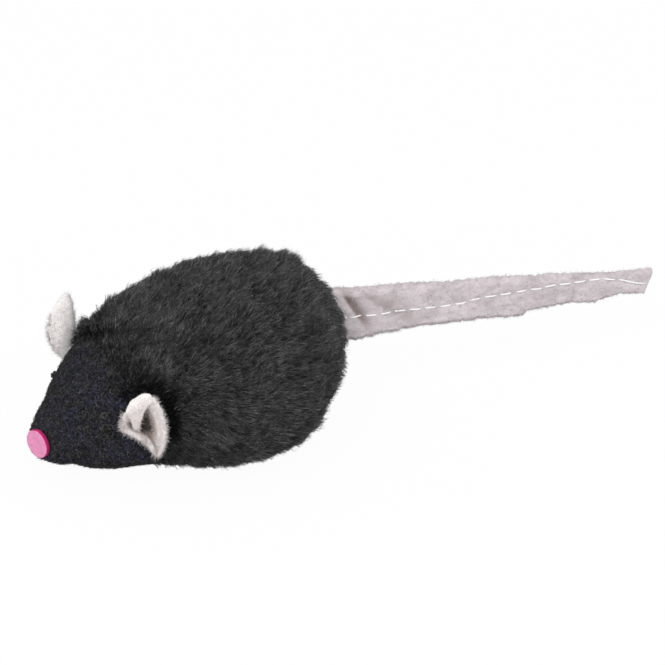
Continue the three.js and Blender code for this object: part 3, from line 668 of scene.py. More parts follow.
class MOUSE_OT_stage(bpy.types.Operator):
    """Floor, lamps, white surround and the camera"""

    bl_idname = "mouse.stage"
    bl_label = "Stage"

    # Point that the camera and lamps look at, in millimetres, and the size and place of each
    # lamp, in metres
    target = (31.7, 2.5, 15.0)
    key_lamp = (0.6, (-0.45, -0.5, 0.75))
    fill_lamp = (0.5, (0.7, -0.45, 0.4))
    # The floor's half side and level in metres, and how much of it is plain white where it shows
    floor_reach, floor_level, floor_white = 3.0, -0.3 * MM, 0.96

    def execute(self, context):
        """The camera looks at the target from its azimuth, elevation and distance, with the lens
        that makes the view as wide as set there."""
        scene, stage = context.scene, context.scene.mouse_stage
        scene.view_settings.view_transform = "Standard"
        target = Vector(self.target) * MM
        level = math.cos(stage.elevation)
        towards = (math.sin(stage.azimuth) * level, -math.cos(stage.azimuth) * level)
        back = Vector((*towards, math.sin(stage.elevation)))
        data = bpy.data.cameras.new("Camera")
        data.sensor_width = 36.0
        data.lens = data.sensor_width * stage.distance / stage.view_width
        data.clip_start, data.clip_end = 0.01, 20
        scene.camera = self.aimed("Camera", data, target + back * stage.distance, -back)
        for name, power, (size, place) in (
            ("Key lamp", stage.key, self.key_lamp),
            ("Fill lamp", stage.fill, self.fill_lamp),
        ):
            data = bpy.data.lights.new(name, "AREA")
            data.energy, data.size = power, size
            self.aimed(name, data, place, target - Vector(place))
        self.surround(scene, stage)
        self.floor()
        return {"FINISHED"}

    def aimed(self, name, data, place, direction):
        """A camera or lamp at a place, that looks along a direction."""
        made = linked(name, data)
        made.location = place
        made.rotation_euler = direction.to_track_quat("-Z", "Y").to_euler()
        return made

    def straight_rays(self, tree):
        """1 for rays that the camera, a gloss or clear plastic sees the surround by."""
        path = add_node(tree, "LightPath")
        seen = path["Is Camera Ray"]
        for kind in ("Is Glossy Ray", "Is Transmission Ray"):
            seen = add_node(tree, "Math", {0: seen, 1: path[kind]}, {"operation": "MAXIMUM"})[0]
        return seen

    def surround(self, scene, stage):
        """White where it is seen and a plain soft light for the rest."""
        world = bpy.data.worlds.new("White surround")
        scene.world = world
        world.use_nodes = True
        tree = world.node_tree
        ground = tree.nodes["Background"]
        ground.inputs["Color"].default_value = (1, 1, 1, 1)
        levels = {"Value": self.straight_rays(tree), "To Min": stage.world, "To Max": 1.0}
        tree.links.new(add_node(tree, "MapRange", levels)["Result"], ground.inputs["Strength"])

    def floor(self):
        """A wide white floor just under the belly. It shows nearly white and keeps a faint
        shadow of the mouse."""
        material = bpy.data.materials.new("White paper floor")
        material.use_nodes = True
        tree = material.node_tree
        tree.nodes.remove(tree.nodes["Principled BSDF"])
        paper = add_node(tree, "BsdfDiffuse", {"Color": (0.9, 0.9, 0.9, 1)})[0]
        white = add_node(tree, "Emission", {"Color": (1, 1, 1, 1), "Strength": 1.0})[0]
        factors = {0: self.straight_rays(tree), 1: self.floor_white}
        share = add_node(tree, "Math", factors, {"operation": "MULTIPLY"})[0]
        both = add_node(tree, "MixShader", {0: share, 1: paper, 2: white})[0]
        tree.links.new(both, tree.nodes["Material Output"].inputs["Surface"])
        mesh = bpy.data.meshes.new("Floor")
        corners = [
            (x * self.floor_reach, y * self.floor_reach, self.floor_level)
            for x, y in ((-1, -1), (1, -1), (1, 1), (-1, 1))
        ]
        mesh.from_pydata(corners, [], [(0, 1, 2, 3)])
        mesh.materials.append(material)
        linked("Floor", mesh)


class MOUSE_OT_head(bpy.types.Operator):
    """Head cover of black felt, with its fuzz"""

    bl_idname = "mouse.head"
    bl_label = "Head felt"

    def execute(self, context):
        """The skin from nose to seam, raised by two drifts and sunk along the cheek's crease."""
        body = context.scene.mouse_body
        felt, hem = body.felt / MM, body.hem / MM
        rings, sides = 84, 260
        station = np.linspace(0.02, SEAM + 0.06, rings)[:, None]
        angle = (np.arange(sides) + 0.5)[None] * TURN / sides
        outward, plain = skin_directions(station, angle)[0], skin(station, angle)
        crease = bump(plain[..., 2], CREASE_HEIGHT, CREASE_WIDTH) * smooth_step(station, 1.5, 2.3)
        lumps = 0.16 * drift(plain, 4.0, 11) + 0.07 * drift(plain, 1.3, 12)
        lumps = lumps - CREASE_DEPTH * crease
        chin = hem + 0.6 * (1 - smooth_step(station, 0.5, 1.5))[..., None]
        outside = self.behind_nose(kept_above(plain + outward * lumps[..., None], chin))
        inside = self.behind_nose(kept_above(plain - outward * felt, hem + felt), felt)
        head = lofted("head_felt", np.concatenate([outside, inside[::-1]]), head_felt())
        carried(head, "head_cover")
        self.fuzz(outside, outward)
        return {"FINISHED"}

    def behind_nose(self, points, depth=0.0):
        """The points, with those past the nose disc's plane pressed flat onto it."""
        past = (points - NOSE_SEAT) @ NOSE_AXIS + depth
        return points - np.maximum(past, 0)[..., None] * NOSE_AXIS

    def fuzz(self, surface, outward):
        """Short loose fibres that stand off the felt every way, but not out of the crease."""
        chance, count = np.random.default_rng(21), 14000
        row, column = (place.astype(int) for place in scattered(surface, count, chance))
        places, normals = surface[row, column], outward[row, column]
        flat = chance.normal(size=(count, 3))
        flat = unit(flat - normals * (flat * normals).sum(-1, keepdims=True))
        lean = unit(flat + normals * chance.uniform(0.02, 0.45, (count, 1)))
        reach = lean * chance.uniform(0.45, 1.2, (count, 1))
        curl = np.cross(normals, flat) * chance.normal(size=(count, 1)) * 0.2
        creased = (np.abs(places[:, 2] - CREASE_HEIGHT - 0.2) < 0.75) & (places[:, 0] > -22)
        keep = (places[:, 2] > 1.8) & ~creased
        widths, shades = chance.uniform(0.08, 0.15, count), chance.beta(1.2, 2.8, count)
        parts = (places, reach, curl, normals * 0.06, widths, shades)
        # Fibre ends teased out of black felt: near black, with single pale ones that catch light,
        # painted glints along them and a little painted shade at their roots
        material = pile_material(
            "Loose felt fibres, black", linear("08080a"), linear("7c7c7c"), root=0.8,
            Specular_IOR_Level=0.2,
        )
        hairs = fibres("head_fuzz", *(part[keep] for part in parts), material)
        carried(hairs)


class MOUSE_OT_backing(bpy.types.Operator):
    """Knitted backing that carries the pile, stuffed full"""

    bl_idname = "mouse.backing"
    bl_label = "Plush backing"

    def execute(self, context):
        """The skin from seam to rump, moved inwards by the pile's depth and by its thickness."""
        body = context.scene.mouse_body
        thickness, hem = body.backing / MM, body.hem / MM
        rings, sides = 100, 140
        station = (SEAM + (RUMP - SEAM - 0.02) * np.linspace(0, 1, rings) ** 0.9)[:, None]
        angle = (np.arange(sides) + 0.5)[None] * TURN / sides
        outward, plain = skin_directions(station, angle)[0], skin(station, angle)
        depth = pile_depth(station)[..., None]
        outside = kept_above(plain - outward * depth, hem)
        inside = kept_above(plain - outward * (depth + thickness), hem + thickness)
        # Knitted ground of the plush: dull and black, with loops half a millimetre wide
        material = moulded_material(
            "Knitted polyester backing, black", "161617", 0.5, 0.1, 0.4, Roughness=1.0
        )
        backing = lofted("plush_backing", np.concatenate([outside, inside[::-1]]), material)
        carried(backing, "body_cover")
        return {"FINISHED"}


class MOUSE_OT_pile(bpy.types.Operator):
    """Long plush pile, brushed from the neck towards the tail"""

    bl_idname = "mouse.pile"
    bl_label = "Plush pile"

    bands = ("pile_neck", "pile_shoulders", "pile_ribs", "pile_loin", "pile_haunches", "pile_rump")
    # Tufts, small tight ones and wide loose ones: size in millimetres, share of the way that tips
    # are drawn to their tuft's middle, change of shade, swell in millimetres and seed
    tuft_kinds = ((0.75, 0.5, 0.05, 0.34, 38), (1.9, 0.1, 0.03, 0.1, 39))

    def execute(self, context):
        """Hairs are scattered over the skin, left out on the bare underside and before the
        plush's edge, and split into bands from neck to rump."""
        pile = context.scene.mouse_pile
        chance = np.random.default_rng(31)
        rows, columns = np.linspace(SEAM - 0.3, RUMP - 0.01, 260), np.linspace(0, TURN, 360)
        row, column = scattered(skin(rows[:, None], columns[None]), pile.count, chance)
        station = rows[0] + row * (rows[1] - rows[0])
        angle = column * (columns[1] - columns[0])
        surface = skin(station, angle)
        outward, tailward = skin_directions(station, angle)
        under = (surface[:, 2] < BARE_UNDERSIDE) & (outward[:, 2] < -0.85)
        edge = np.interp(angle, EDGE_ANGLES, EDGE_STATIONS) + 0.04 * drift(surface, 1.5, 30)
        keep = ~under & (station > edge)
        places = [part[keep] for part in (station, angle, surface, outward, tailward)]
        hairs = self.hairs(pile, chance, *places)
        hairs = [np.concatenate(parts) for parts in zip(hairs, self.forelock(chance))]
        station = np.concatenate([places[0], np.full(len(hairs[0]) - len(places[0]), SEAM)])
        order = np.argsort(station, kind="stable")
        # Brushed acrylic plush: a painted shade makes it deep black at the roots between the hairs,
        # and its grey shimmer towards the tips is partly painted glints
        material = pile_material(
            "Acrylic plush pile, brushed", tuple(pile.dark), tuple(pile.light), root=0.16,
            Specular_IOR_Level=0.12,
        )
        for name, part in zip(self.bands, np.array_split(order, len(self.bands))):
            carried(hair_mesh(name, *(values[part] for values in hairs), material))
        return {"FINISHED"}

    def hairs(self, pile, chance, station, angle, surface, outward, tailward):
        """Roots, bends, tips, widths and shades. A hair leans tailwards at the pile's lift, its
        neighbours are drawn to the middle of their tuft, and slow fields change its length,
        lean and shade."""
        count = len(station)
        ramp = smooth_step(station, SEAM, SHOULDER)
        seam = 1 - smooth_step(station, SEAM - 0.2, SEAM + 0.5)
        past = smooth_step(station, RUMP - 4.5, RUMP - 0.8)[:, None]
        low = 1 - smooth_step(surface[:, 2], 4, 16)
        nape = bump(station, 3.6, 0.4) * bump(angle, 0.75, 0.5)
        haunch = smooth_step(station, 7.6, 8.4) * (1 - smooth_step(station, 9.0, 9.8))
        haunch = haunch * smooth_step(outward[:, 2], 0, 0.5)
        loin = bump(station, 6.5, 1.2) * smooth_step(outward[:, 2], 0.3, 0.8)
        # Lean: along the brushing, swung sideways and lifted off the cloth
        flow = unit(mix(tailward, np.array([0.75, 0.0, -0.66]), past))
        flow = unit(flow - outward * (flow * outward).sum(-1, keepdims=True) * 0.8)
        across = np.cross(outward, flow)
        swing = 0.3 * drift(surface, 15, 32) + 0.2 * drift(surface, 5, 33)
        swing = (swing + mix(0.24, 0.9, seam) * chance.normal(size=count))[:, None]
        lift = pile.lift + 0.13 * drift(surface, 4.5, 34) + 0.15 * chance.normal(size=count)
        lift = lift * (1 - 0.2 * low) * mix(0.8, 1, ramp) * (1 - 0.3 * haunch)
        lift = (lift + 0.1 * loin)[:, None]
        aim = (flow * np.cos(swing) + across * np.sin(swing)) * np.cos(lift)
        lean = unit(aim + outward * np.sin(lift))
        # Length, from the cloth's depth under the skin
        length = pile.length / MM * mix(0.5, 1, ramp) * (1 - 0.26 * haunch) * (1 - 0.2 * nape)
        length = length * (1 + 0.08 * drift(surface, 3.0, 35)) * chance.uniform(0.7, 1.1, count)
        length = (length * np.where(chance.random(count) < 0.03, 1.2, 1))[:, None]
        depth = np.where(station < SEAM, 0.15, pile_depth(station) + 0.2)
        roots = kept_above(surface - outward * depth[:, None], ROOT_FLOOR)
        frizz = chance.normal(size=(count, 3)) * 0.28
        bends = roots + lean * (length * 0.66) + outward * (length * 0.06) + frizz
        tips = roots + lean * length - frizz * 0.8
        # Tufts draw the hairs together, swell and have a shade of their own
        shade = 0.465 + 0.05 * drift(surface, 1.6, 36) + 0.05 * drift(surface, 9, 37)
        for size, pull, tint, swell, seed in self.tuft_kinds:
            offset, tone = self.tufts(surface, tips, size, seed)
            raised = (lean + 0.6 * outward) * (swell * (1 + 1.1 * haunch) * tone)[:, None]
            tips = tips + offset * pull + raised
            bends = bends + offset * (pull * 0.55) + raised * 0.6
            shade = shade + tint * tone
        # Painted shade: darker in the hollows, along the neck and low down, where the pile shades
        # itself
        sunk_and_shaded = self.ear_hollow_and_shade(surface) + self.furrow(station, angle)
        neck = 1 - smooth_step(station, SEAM, SEAM + 1.7)
        shade = shade + 0.19 * chance.normal(size=count) - 0.44 * np.clip(sunk_and_shaded, 0, 1)
        shade = shade - 0.04 * seam - 0.12 * neck - 0.03 * low
        tips = tips - outward * (sunk_and_shaded * 0.9)[:, None]
        widths = pile.hair / MM * chance.uniform(0.7, 1.15, count)
        return roots, kept_above(bends, BEND_FLOOR), kept_above(tips, TIP_FLOOR), widths, shade

    def forelock(self, chance):
        """Longer tufts caught in the seam behind the right ear: they fan out forwards over the
        ear's base."""
        count, tufts = 1100, 30
        tuft = chance.integers(0, tufts, count)
        station = chance.uniform(2.95, 3.5, tufts)[tuft] + chance.normal(size=count) * 0.04
        angle = chance.uniform(0.6, 1.0, tufts)[tuft] + chance.normal(size=count) * 0.03
        outward = skin_directions(station, angle)[0]
        aim = np.array([-0.55, 0.4, 0.0]) + chance.normal(size=(tufts, 3)) * 0.3
        lean = unit(aim[tuft] + outward * 0.2 + chance.normal(size=(count, 3)) * 0.12)
        length = (chance.uniform(1.6, 3.6, tufts)[tuft] * chance.uniform(0.6, 1.1, count))[:, None]
        roots = skin(station, angle) - outward * 0.7
        curl = chance.normal(size=(count, 3)) * 0.25
        bends = roots + lean * length * 0.5 + outward * 0.3 + curl
        shade = 0.32 + 0.2 * chance.normal(size=count)
        return roots, bends, roots + lean * length - curl, chance.uniform(0.1, 0.16, count), shade

    def furrow(self, station, angle):
        """1 along the furrow that leaves the seam at the right ear and crosses the neck: the pile
        sinks there and takes a painted shade.
        """
        line = bump(station, np.interp(angle, FURROW_ANGLES, FURROW_STATIONS), 0.16)
        fade = smooth_step(angle, 0.6, 0.9) * (1 - 0.6 * smooth_step(angle, 1.5, 1.7))
        return line * fade * (1 - smooth_step(angle, 1.8, 1.95))

    def ear_hollow_and_shade(self, surface):
        """1 where the pile is pressed down round an ear's seam and takes a painted shade, 0 away
        from it.
        """
        middle = EAR_ROOT + np.array([-3.3, 1.3, 7.3])
        left, right = (
            np.linalg.norm(sided(surface, flip) - middle, axis=-1) for flip in (1, -1)
        )
        reach = np.minimum(left, right) + 0.9 * drift(surface, 3, 40)
        return 1 - smooth_step(reach, 5.8, 8.2)

    def tufts(self, surface, tips, size, seed):
        """Groups hairs by uneven cells about one size wide, and gives each hair the step from its
        tip to the middle of the group's tips, and a random tone of the group."""
        warp = np.stack([drift(surface, size * 3, seed + 10 * axis) for axis in (1, 2, 3)], -1)
        cell = np.floor((surface + warp * size * 0.5) / size).astype(np.int64)
        # Three large primes give nearly every cell a number of its own
        code = (cell * np.array([73856093, 19349663, 83492791])).sum(-1)
        tuft = np.unique(code, return_inverse=True)[1].ravel()
        count = np.bincount(tuft)
        middle = np.stack([np.bincount(tuft, tips[:, axis]) / count for axis in range(3)], -1)
        tone = np.random.default_rng(seed).normal(size=len(count))
        return middle[tuft] - tips, tone[tuft]


class MOUSE_OT_belly(bpy.types.Operator):
    """Felt panel that closes the belly"""

    bl_idname = "mouse.belly"
    bl_label = "Belly panel"

    def execute(self, context):
        panel = soft_copy("belly_panel", "belly_felt", 0.45, 0.05, 0.03, 2.5, 41, head_felt())
        carried(panel, "belly_panel")
        return {"FINISHED"}


class MOUSE_OT_nose(bpy.types.Operator):
    """Pink felt disc, punched out and glued on"""

    bl_idname = "mouse.nose"
    bl_label = "Nose disc"

    def execute(self, context):
        """A profile of radius and height, turned round the nose's axis, with a slightly rough
        radius and a rounded front edge."""
        face = context.scene.mouse_face
        radius, thick = face.nose / 2 / MM, face.nose_felt / MM
        edge, seat_gap = 0.28, 0.3
        turn = np.linspace(0, np.pi / 2, 6)
        rounded = [radius - edge + edge * np.cos(turn), thick - edge + edge * np.sin(turn)]
        profile = np.concatenate([
            [[radius * 0.3, 0.0], [radius * 0.8, 0.0], [radius - 0.1, 0.02]],
            [[radius, 0.15], [radius, thick * 0.5]],
            np.stack(rounded, -1),
            [[radius * share, thick] for share in (0.8, 0.6, 0.4, 0.2)],
        ])
        side = unit(np.cross(NOSE_AXIS, np.array([0.0, 0.0, 1.0])))
        around = circle(side, np.cross(side, NOSE_AXIS), 72)
        rough = 1 + 0.02 * drift(around * 4, 3.0, 51) + 0.012 * drift(around * 4, 0.9, 52)
        rings = (
            NOSE_SEAT
            + NOSE_AXIS * (profile[:, 1] + seat_gap)[:, None, None]
            + around * (profile[:, 0][:, None] * rough)[..., None]
        )
        # Pressed felt: a dense matt face, and a deeper pink where the punch cut it
        faces, edges = (
            felt_material(name, colour, shaded(colour, 0.86), 1.1, 0.74, Roughness=0.9)
            for name, colour in (
                ("Dense felt, pink", tuple(face.pink)),
                ("Dense felt, pink cut edge", tuple(face.edge)),
            )
        )
        nose = lofted("nose_felt", rings, faces)
        nose.data.materials.append(edges)
        normals = np.empty(len(nose.data.polygons) * 3, np.float32)
        nose.data.polygons.foreach_get("normal", normals)
        cut = (normals.reshape(-1, 3) @ NOSE_AXIS < 0.6).astype(np.int32)
        nose.data.polygons.foreach_set("material_index", cut)
        carried(nose, "nose_disc")
        return {"FINISHED"}


class MOUSE_OT_eyes(bpy.types.Operator):
    """Eyes, as knots of black thread"""

    bl_idname = "mouse.eyes"
    bl_label = "Eye knots"

    def execute(self, context):
        # Twisted thread: black, with a dull shine on the turns of its strands
        material = moulded_material(
            "Twisted polyester thread, black", "303032", 0.25, 0.05, 0.5, Roughness=0.6
        )
        for name, node in (("eye_knot_left", "eye_left"), ("eye_knot_right", "eye_right")):
            low, high = (np.array(corner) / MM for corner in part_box(node))
            knot = self.knot(name, (low + high) / 2, context.scene.mouse_face.eye / MM, material)
            carried(knot, node)
        return {"FINISHED"}

    def knot(self, name, middle, width, material):
        """Thread wound over itself: a curve that goes twice round while it swings in and out
        three times, as a trefoil does, laid flat on the cheek and carrying a round profile."""
        steps, sides, thread = 120, 8, 0.17
        turn = np.arange(steps) / steps * TURN
        reach = (1 + 0.45 * np.cos(3 * turn)) * width * 0.3
        deep_in_head = np.array([middle[0] + 6, 0.0, 7.5])
        outward = unit(middle - deep_in_head)
        across = unit(np.cross(outward, np.array([0.0, 0.0, 1.0])))
        up = np.cross(across, outward)
        path = (
            middle
            - outward * 0.1
            + across * (reach * np.cos(2 * turn))[:, None]
            + up * (reach * np.sin(2 * turn))[:, None]
            + outward * (0.3 * np.sin(3 * turn))[:, None]
        )
        ahead = unit(np.roll(path, -1, 0) - np.roll(path, 1, 0))
        side = unit(np.cross(ahead, np.array([0.23, 0.41, 0.88])))
        rings = path[:, None] + thread * circle(side, np.cross(ahead, side), sides)
        corners, sizes = ring_faces(steps, sides, closed=True)
        return new_piece(name, rings.reshape(-1, 3), corners, sizes, material)


class MOUSE_OT_ears(bpy.types.Operator):
    """Cupped felt ears with their fuzz"""

    bl_idname = "mouse.ears"
    bl_label = "Ears"

    # Rings of points that round the cut rim
    rim_rings = 7

    def execute(self, context):
        """A rim, a pocket and a flap of its own for each side; the right one is mirrored."""
        ears = context.scene.mouse_ear
        colour = tuple(ears.grey)
        felt = grey_felt("Needled felt, ears", colour, patches=0.97, pits=0.66, patch_mm=2.2)
        loose = pale_fibres("Loose felt fibres, pale grey", "d6cccb", "fffcfb")
        for side, rim, cup, height, hang, flip, seed in (
            ("left", LEFT_RIM_SHARES, LEFT_CUP_SHARES, ears.left_height, LEFT_HANG, 1, 61),
            ("right", RIGHT_RIM_SHARES, RIGHT_CUP_SHARES, ears.right_height, RIGHT_HANG, -1, 71),
        ):
            size = np.array([ears.width, ears.width, height]) / MM
            self.ear(side, (rim * size, cup * size, hang, flip), seed, felt, loose)
        return {"FINISHED"}

    def flap(self, turn):
        """1 at the middle of the rim's stretch that is folded into the cup, 0 past its ends."""
        off = turn - FLAP_TURN
        return np.clip((1 - np.maximum(off / FLAP_FRONT, -off / FLAP_REAR)) * 1.7, 0, 1)

    def bowl(self, share, turn, shape):
        """Point of the cupped leaf: each line from the pocket bulges over a wall towards the head
        and ends at the rim. Where the flap lies, the line turns over at the rim and hangs back
        into the cup, farthest at the flap's tip."""
        rim, cup, hang, flip = shape
        edge = through(rim, turn * len(rim), closed=True)
        pocket = np.broadcast_to(cup[0], edge.shape)
        flap = self.flap(turn)[..., None]
        tip = through(rim, np.array(FLAP_TURN * len(rim)), closed=True)
        lowest = cup[1] + 0.35 * (edge - tip)
        depth = bpy.context.scene.mouse_ear.cup / MM
        bulge = depth * np.clip(edge[..., 2:] / rim[:, 2].max(), 0, 1)
        wall = mix(pocket, edge, 0.55) - bulge * np.array([0.0, 1.0, 0.0])
        bend = mix(wall, edge, mix(0.7, 0.97, np.clip(3 * flap, 0, 1)))
        end = mix(edge, lowest, flap * hang)
        point = through(np.stack([pocket, wall, bend, end]), share * 3)
        return sided(sided(point, -1) + EAR_ROOT, flip)

    def depths(self, share, turn, hang, flip):
        """Painted shade by how deep each point of the front face, the rounded rim and the back face
        lies in the cup: deepest in the pocket, with a shallower painted shadow down its lower side.
        The left ear's whole front face keeps a little painted shade, and the right ear gets only a
        tenth of it. The back face is only shaded where the flap turns it into the cup."""
        low_side = 0.35 * smooth_step(turn, 6.2 / 11, 7 / 11)
        shadow = low_side * (1 - smooth_step(share, 0.45, 0.9))
        front = np.maximum(1 - smooth_step(share, 0.2, 0.74), shadow)
        front = front * mix(0.3, 1, smooth_step(np.minimum(turn, 1 - turn), 0.02, 0.16))
        front = np.maximum(front, 0.12) if flip > 0 else 0.1 * front
        back = 0.16 * hang * self.flap(turn) * smooth_step(share, 0.7, 0.85)
        return front, np.repeat(back[-1:] * 0.5, self.rim_rings, 0), back[::-1]

    def ear(self, side, shape, seed, felt, loose):
        """One ear: front and back of the felt lie half its thickness off the leaf, and the cut
        rim is rounded between them."""
        hang, flip = shape[2:]
        rings, sides, step = 46, 160, 0.004
        share = (np.arange(rings) + 0.7)[:, None] / (rings - 0.3)
        share, turn = np.broadcast_arrays(share, np.arange(sides)[None] / sides)
        leaf = self.bowl(share, turn, shape)
        out = unit(leaf - self.bowl(share - step, turn, shape))
        ahead, behind = (self.bowl(share, turn + way, shape) for way in (step, -step))
        normal = unit(np.cross(out, unit(ahead - behind))) * flip
        wave = 0.1 * drift(leaf, 4.5, seed) + 0.05 * drift(leaf, 1.4, seed + 1)
        leaf = leaf + normal * (wave * smooth_step(share, 0.1, 0.6))[..., None]
        ragged = 0.14 * drift(leaf[-1], 1.6, seed + 2) + 0.07 * drift(leaf[-1], 0.6, seed + 3)
        half = bpy.context.scene.mouse_ear.felt / 2 / MM
        angle = np.linspace(np.pi / 2, -np.pi / 2, self.rim_rings + 2)[1:-1, None, None]
        cut = leaf[-1] + out[-1] * ragged[:, None]
        rim = cut + half * (normal[-1] * np.sin(angle) + out[-1] * np.cos(angle))
        faces = np.concatenate([leaf + normal * half, rim, (leaf - normal * half)[::-1]])
        ear = lofted(f"{side}_ear_felt", faces, felt)
        # Painted shade in the cup
        paint_depth_shade(ear, np.concatenate(self.depths(share, turn, hang, flip)))
        fuzz = self.fuzz(side, leaf, normal, out, half, seed, loose)
        root = sided(EAR_ROOT, flip)
        low, high = (tuple((root + np.array([0, 0, rise])) * MM) for rise in EAR_BEND)
        area = round(float(cell_areas(leaf).sum() * MM * MM), 6)
        sewn_on(
            ear, [fuzz], f"ear_{side}", f"{side}_ear", low, high,
            flat=EAR_FLAT, held="gathered", rests_on=["head_felt"], area=area,
        )

    def fuzz(self, side, leaf, normal, out, half, seed, material):
        """Loose fibres on both faces of the felt, and longer ones along its cut rim."""
        chance, faces, edges = np.random.default_rng(seed + 5), 3200, 2800
        row, column = (place.astype(int) for place in scattered(leaf, faces, chance))
        face = np.where(chance.random(faces) < 0.5, 1.0, -1.0)[:, None]
        face_root = leaf[row, column] + normal[row, column] * face * half * 0.9
        face_lean = chance.normal(size=(faces, 3)) * 0.8 + normal[row, column] * face * 0.5
        face_lean = face_lean * smooth_step(row, 14, 24)[:, None]
        column = chance.integers(0, leaf.shape[1], edges)
        edge_root = leaf[-1, column] + normal[-1, column] * chance.uniform(-half, half, (edges, 1))
        edge_lean = chance.normal(size=(edges, 3)) * 0.55 + out[-1, column]
        shown = np.linalg.norm(face_lean, axis=-1) > 0.2
        faces, count = shown.sum(), shown.sum() + edges
        lean = unit(np.concatenate([face_lean[shown], edge_lean]))
        lengths = [chance.uniform(0.25, 0.8, (faces, 1)), chance.uniform(0.4, 1.5, (edges, 1))]
        curl = chance.normal(size=(count, 3)) * 0.12
        places = np.concatenate([face_root[shown], edge_root])
        reach = lean * np.concatenate(lengths)
        widths, shades = chance.uniform(0.035, 0.065, count), chance.random(count)
        return fibres(f"{side}_ear_fuzz", places, reach, curl, 0, widths, shades, material)


class MOUSE_OT_tail(bpy.types.Operator):
    """Tail: a felt strip folded along its top and stitched through"""

    bl_idname = "mouse.tail"
    bl_label = "Tail"

    def execute(self, context):
        tail = context.scene.mouse_tail
        strip, surface = self.strip(tail)
        loose = [self.fuzz(surface), self.stitches(tail)]
        sewn_on(
            strip, loose, "tail", "tail_strip", TAIL_BEND_START, TAIL_BEND_END,
            flat=TAIL_FLAT, held="folded", rests_on=["plush_backing"], area=TAIL_AREA,
        )
        return {"FINISHED"}

    def heights(self, tail, share):
        """Height of the folded strip at a share of its length, and the stitch line's place in
        it, up from the strip's middle."""
        tall, drop = (
            through(rows[:, None], share * (len(rows) - 1))[..., 0]
            for rows in (TAIL_HEIGHT_SHARES, STITCH_DROP_SHARES)
        )
        height = tail.height / MM * tall
        return height, height / 2 - drop * height

    def placed(self, tail, along, across, up):
        """From the strip's own length, side and height to the frame of the part: the strip is
        arched a little, tilted down by its droop and hung on its root."""
        tilt = math.asin(tail.droop / tail.length)
        up = up + 0.35 * np.sin(np.pi * np.clip(along / (tail.length / MM), 0, 1))
        forwards = along * math.cos(tilt) + up * math.sin(tilt)
        upwards = up * math.cos(tilt) - along * math.sin(tilt)
        return TAIL_ROOT + np.stack([forwards, across, upwards], -1)

    def creases(self, along, up):
        """How deep each point of the strip lies in a crease, 0 to 1: two run down and back from
        the fold near the root, and faint ones cross the strip farther on. The felt sinks in them,
        and the near face takes a painted shade there."""
        depth = np.zeros(up.shape)
        for start, run, wide, deep in TAIL_CREASES:
            off = (along - start - run * (5.5 - up)) / wide
            crease = np.where(off < 0, bump(off, 0, 0.6), bump(off, 0, 1.7))
            depth = np.maximum(depth, deep * crease * smooth_step(up, -5.5, 1.5))
        return depth * (1 - 0.8 * smooth_step(up, 3.2, 5.2))

    def sway(self, along, up):
        """Sideways place of the strip's middle: it sinks in the creases, and slow waves go on to
        the tip."""
        point = np.stack([along, np.zeros_like(along), up * 0.5], -1)
        waves = 0.28 * drift(point, 16, 81) + 0.13 * drift(point, 5, 82)
        return waves + 0.5 * self.creases(along, up)

    def strip(self, tail):
        """A hairpin section, round at the fold and open below, carried along the tail. Its two
        cut edges wander, and the thread draws the felt in along the stitch line. Gives the
        piece and the points of its outside."""
        felt = tail.felt / MM
        half, tip = felt + TAIL_SLIT, felt / 2
        share = np.linspace(0, 1, 230)[:, None]
        length = tail.length / MM + TAIL_TUCK
        height, drop = self.heights(tail, share)
        place = np.concatenate([share * length, share * 0, share * 0], -1)
        top = height / 2 + 0.1 * drift(place, 9, 83)[:, None] + 0.1 * drift(place, 1.3, 86)[:, None]
        fold = top - half
        # The near cut edge is a little longer, and steps in twice on its way to the tip
        steps = 0.8 * smooth_step(share, 0.6, 0.635) - 0.5 * smooth_step(share, 0.3, 0.6)
        bend, nip = np.linspace(0, np.pi, 13)[None], np.linspace(0, np.pi, 7)[None, 1:-1]
        walls, hems = [], []
        for side, longer in ((-1, 0.25 - steps), (1, -0.15)):
            place = np.concatenate([share * length, share * 0 + side * 40, share * 0], -1)
            wander = (0.26 * drift(place, 7, 84) + 0.12 * drift(place, 1.4, 85))[:, None]
            low = -height / 2 - wander - longer + tip
            walls.append(mix(low, fold, np.linspace(0, 1, 26)[None]))
            middle = side * (half + TAIL_SLIT) / 2
            hems.append((middle + tip * np.cos(nip), low - tip * np.sin(nip)))
        (near, far), (near_hem, far_hem) = walls, hems
        section = (
            (-half, near),
            (-half * np.cos(bend), fold + half * np.sin(bend)),
            (half, far[:, ::-1]),
            far_hem,
            (TAIL_SLIT, far),
            (TAIL_SLIT * np.cos(bend), fold + TAIL_SLIT * np.sin(bend)),
            (-TAIL_SLIT, near[:, ::-1]),
            near_hem,
        )
        across = np.concatenate([np.broadcast_to(wide, up.shape) for wide, up in section], 1)
        up = np.concatenate([up for _, up in section], 1)
        along = share * length + 0.35 * up * smooth_step(share, 0.9, 1)
        stitched = 0.6 + 0.4 * np.cos(along * TURN / (tail.pitch / MM))
        across = across * (1 - 0.16 * bump(up, drop, 0.7) * stitched) + self.sway(along, up)
        rings = self.placed(tail, along, across, up)
        colour = tuple(tail.grey)
        material = grey_felt("Needled felt, tail", colour, 0.78, 0.82, 1.7, stretch=(0.45, 1, 1))
        strip = lofted("tail_felt", rings, material)
        # Painted shade in the creases, on the near face only, and a faint even darkening all over
        paint_depth_shade(strip, 0.55 * self.creases(along, up) * (across < 0) + 0.05)
        outside = sum(part.shape[1] for _, part in section[:3])
        return strip, rings[:, :outside]

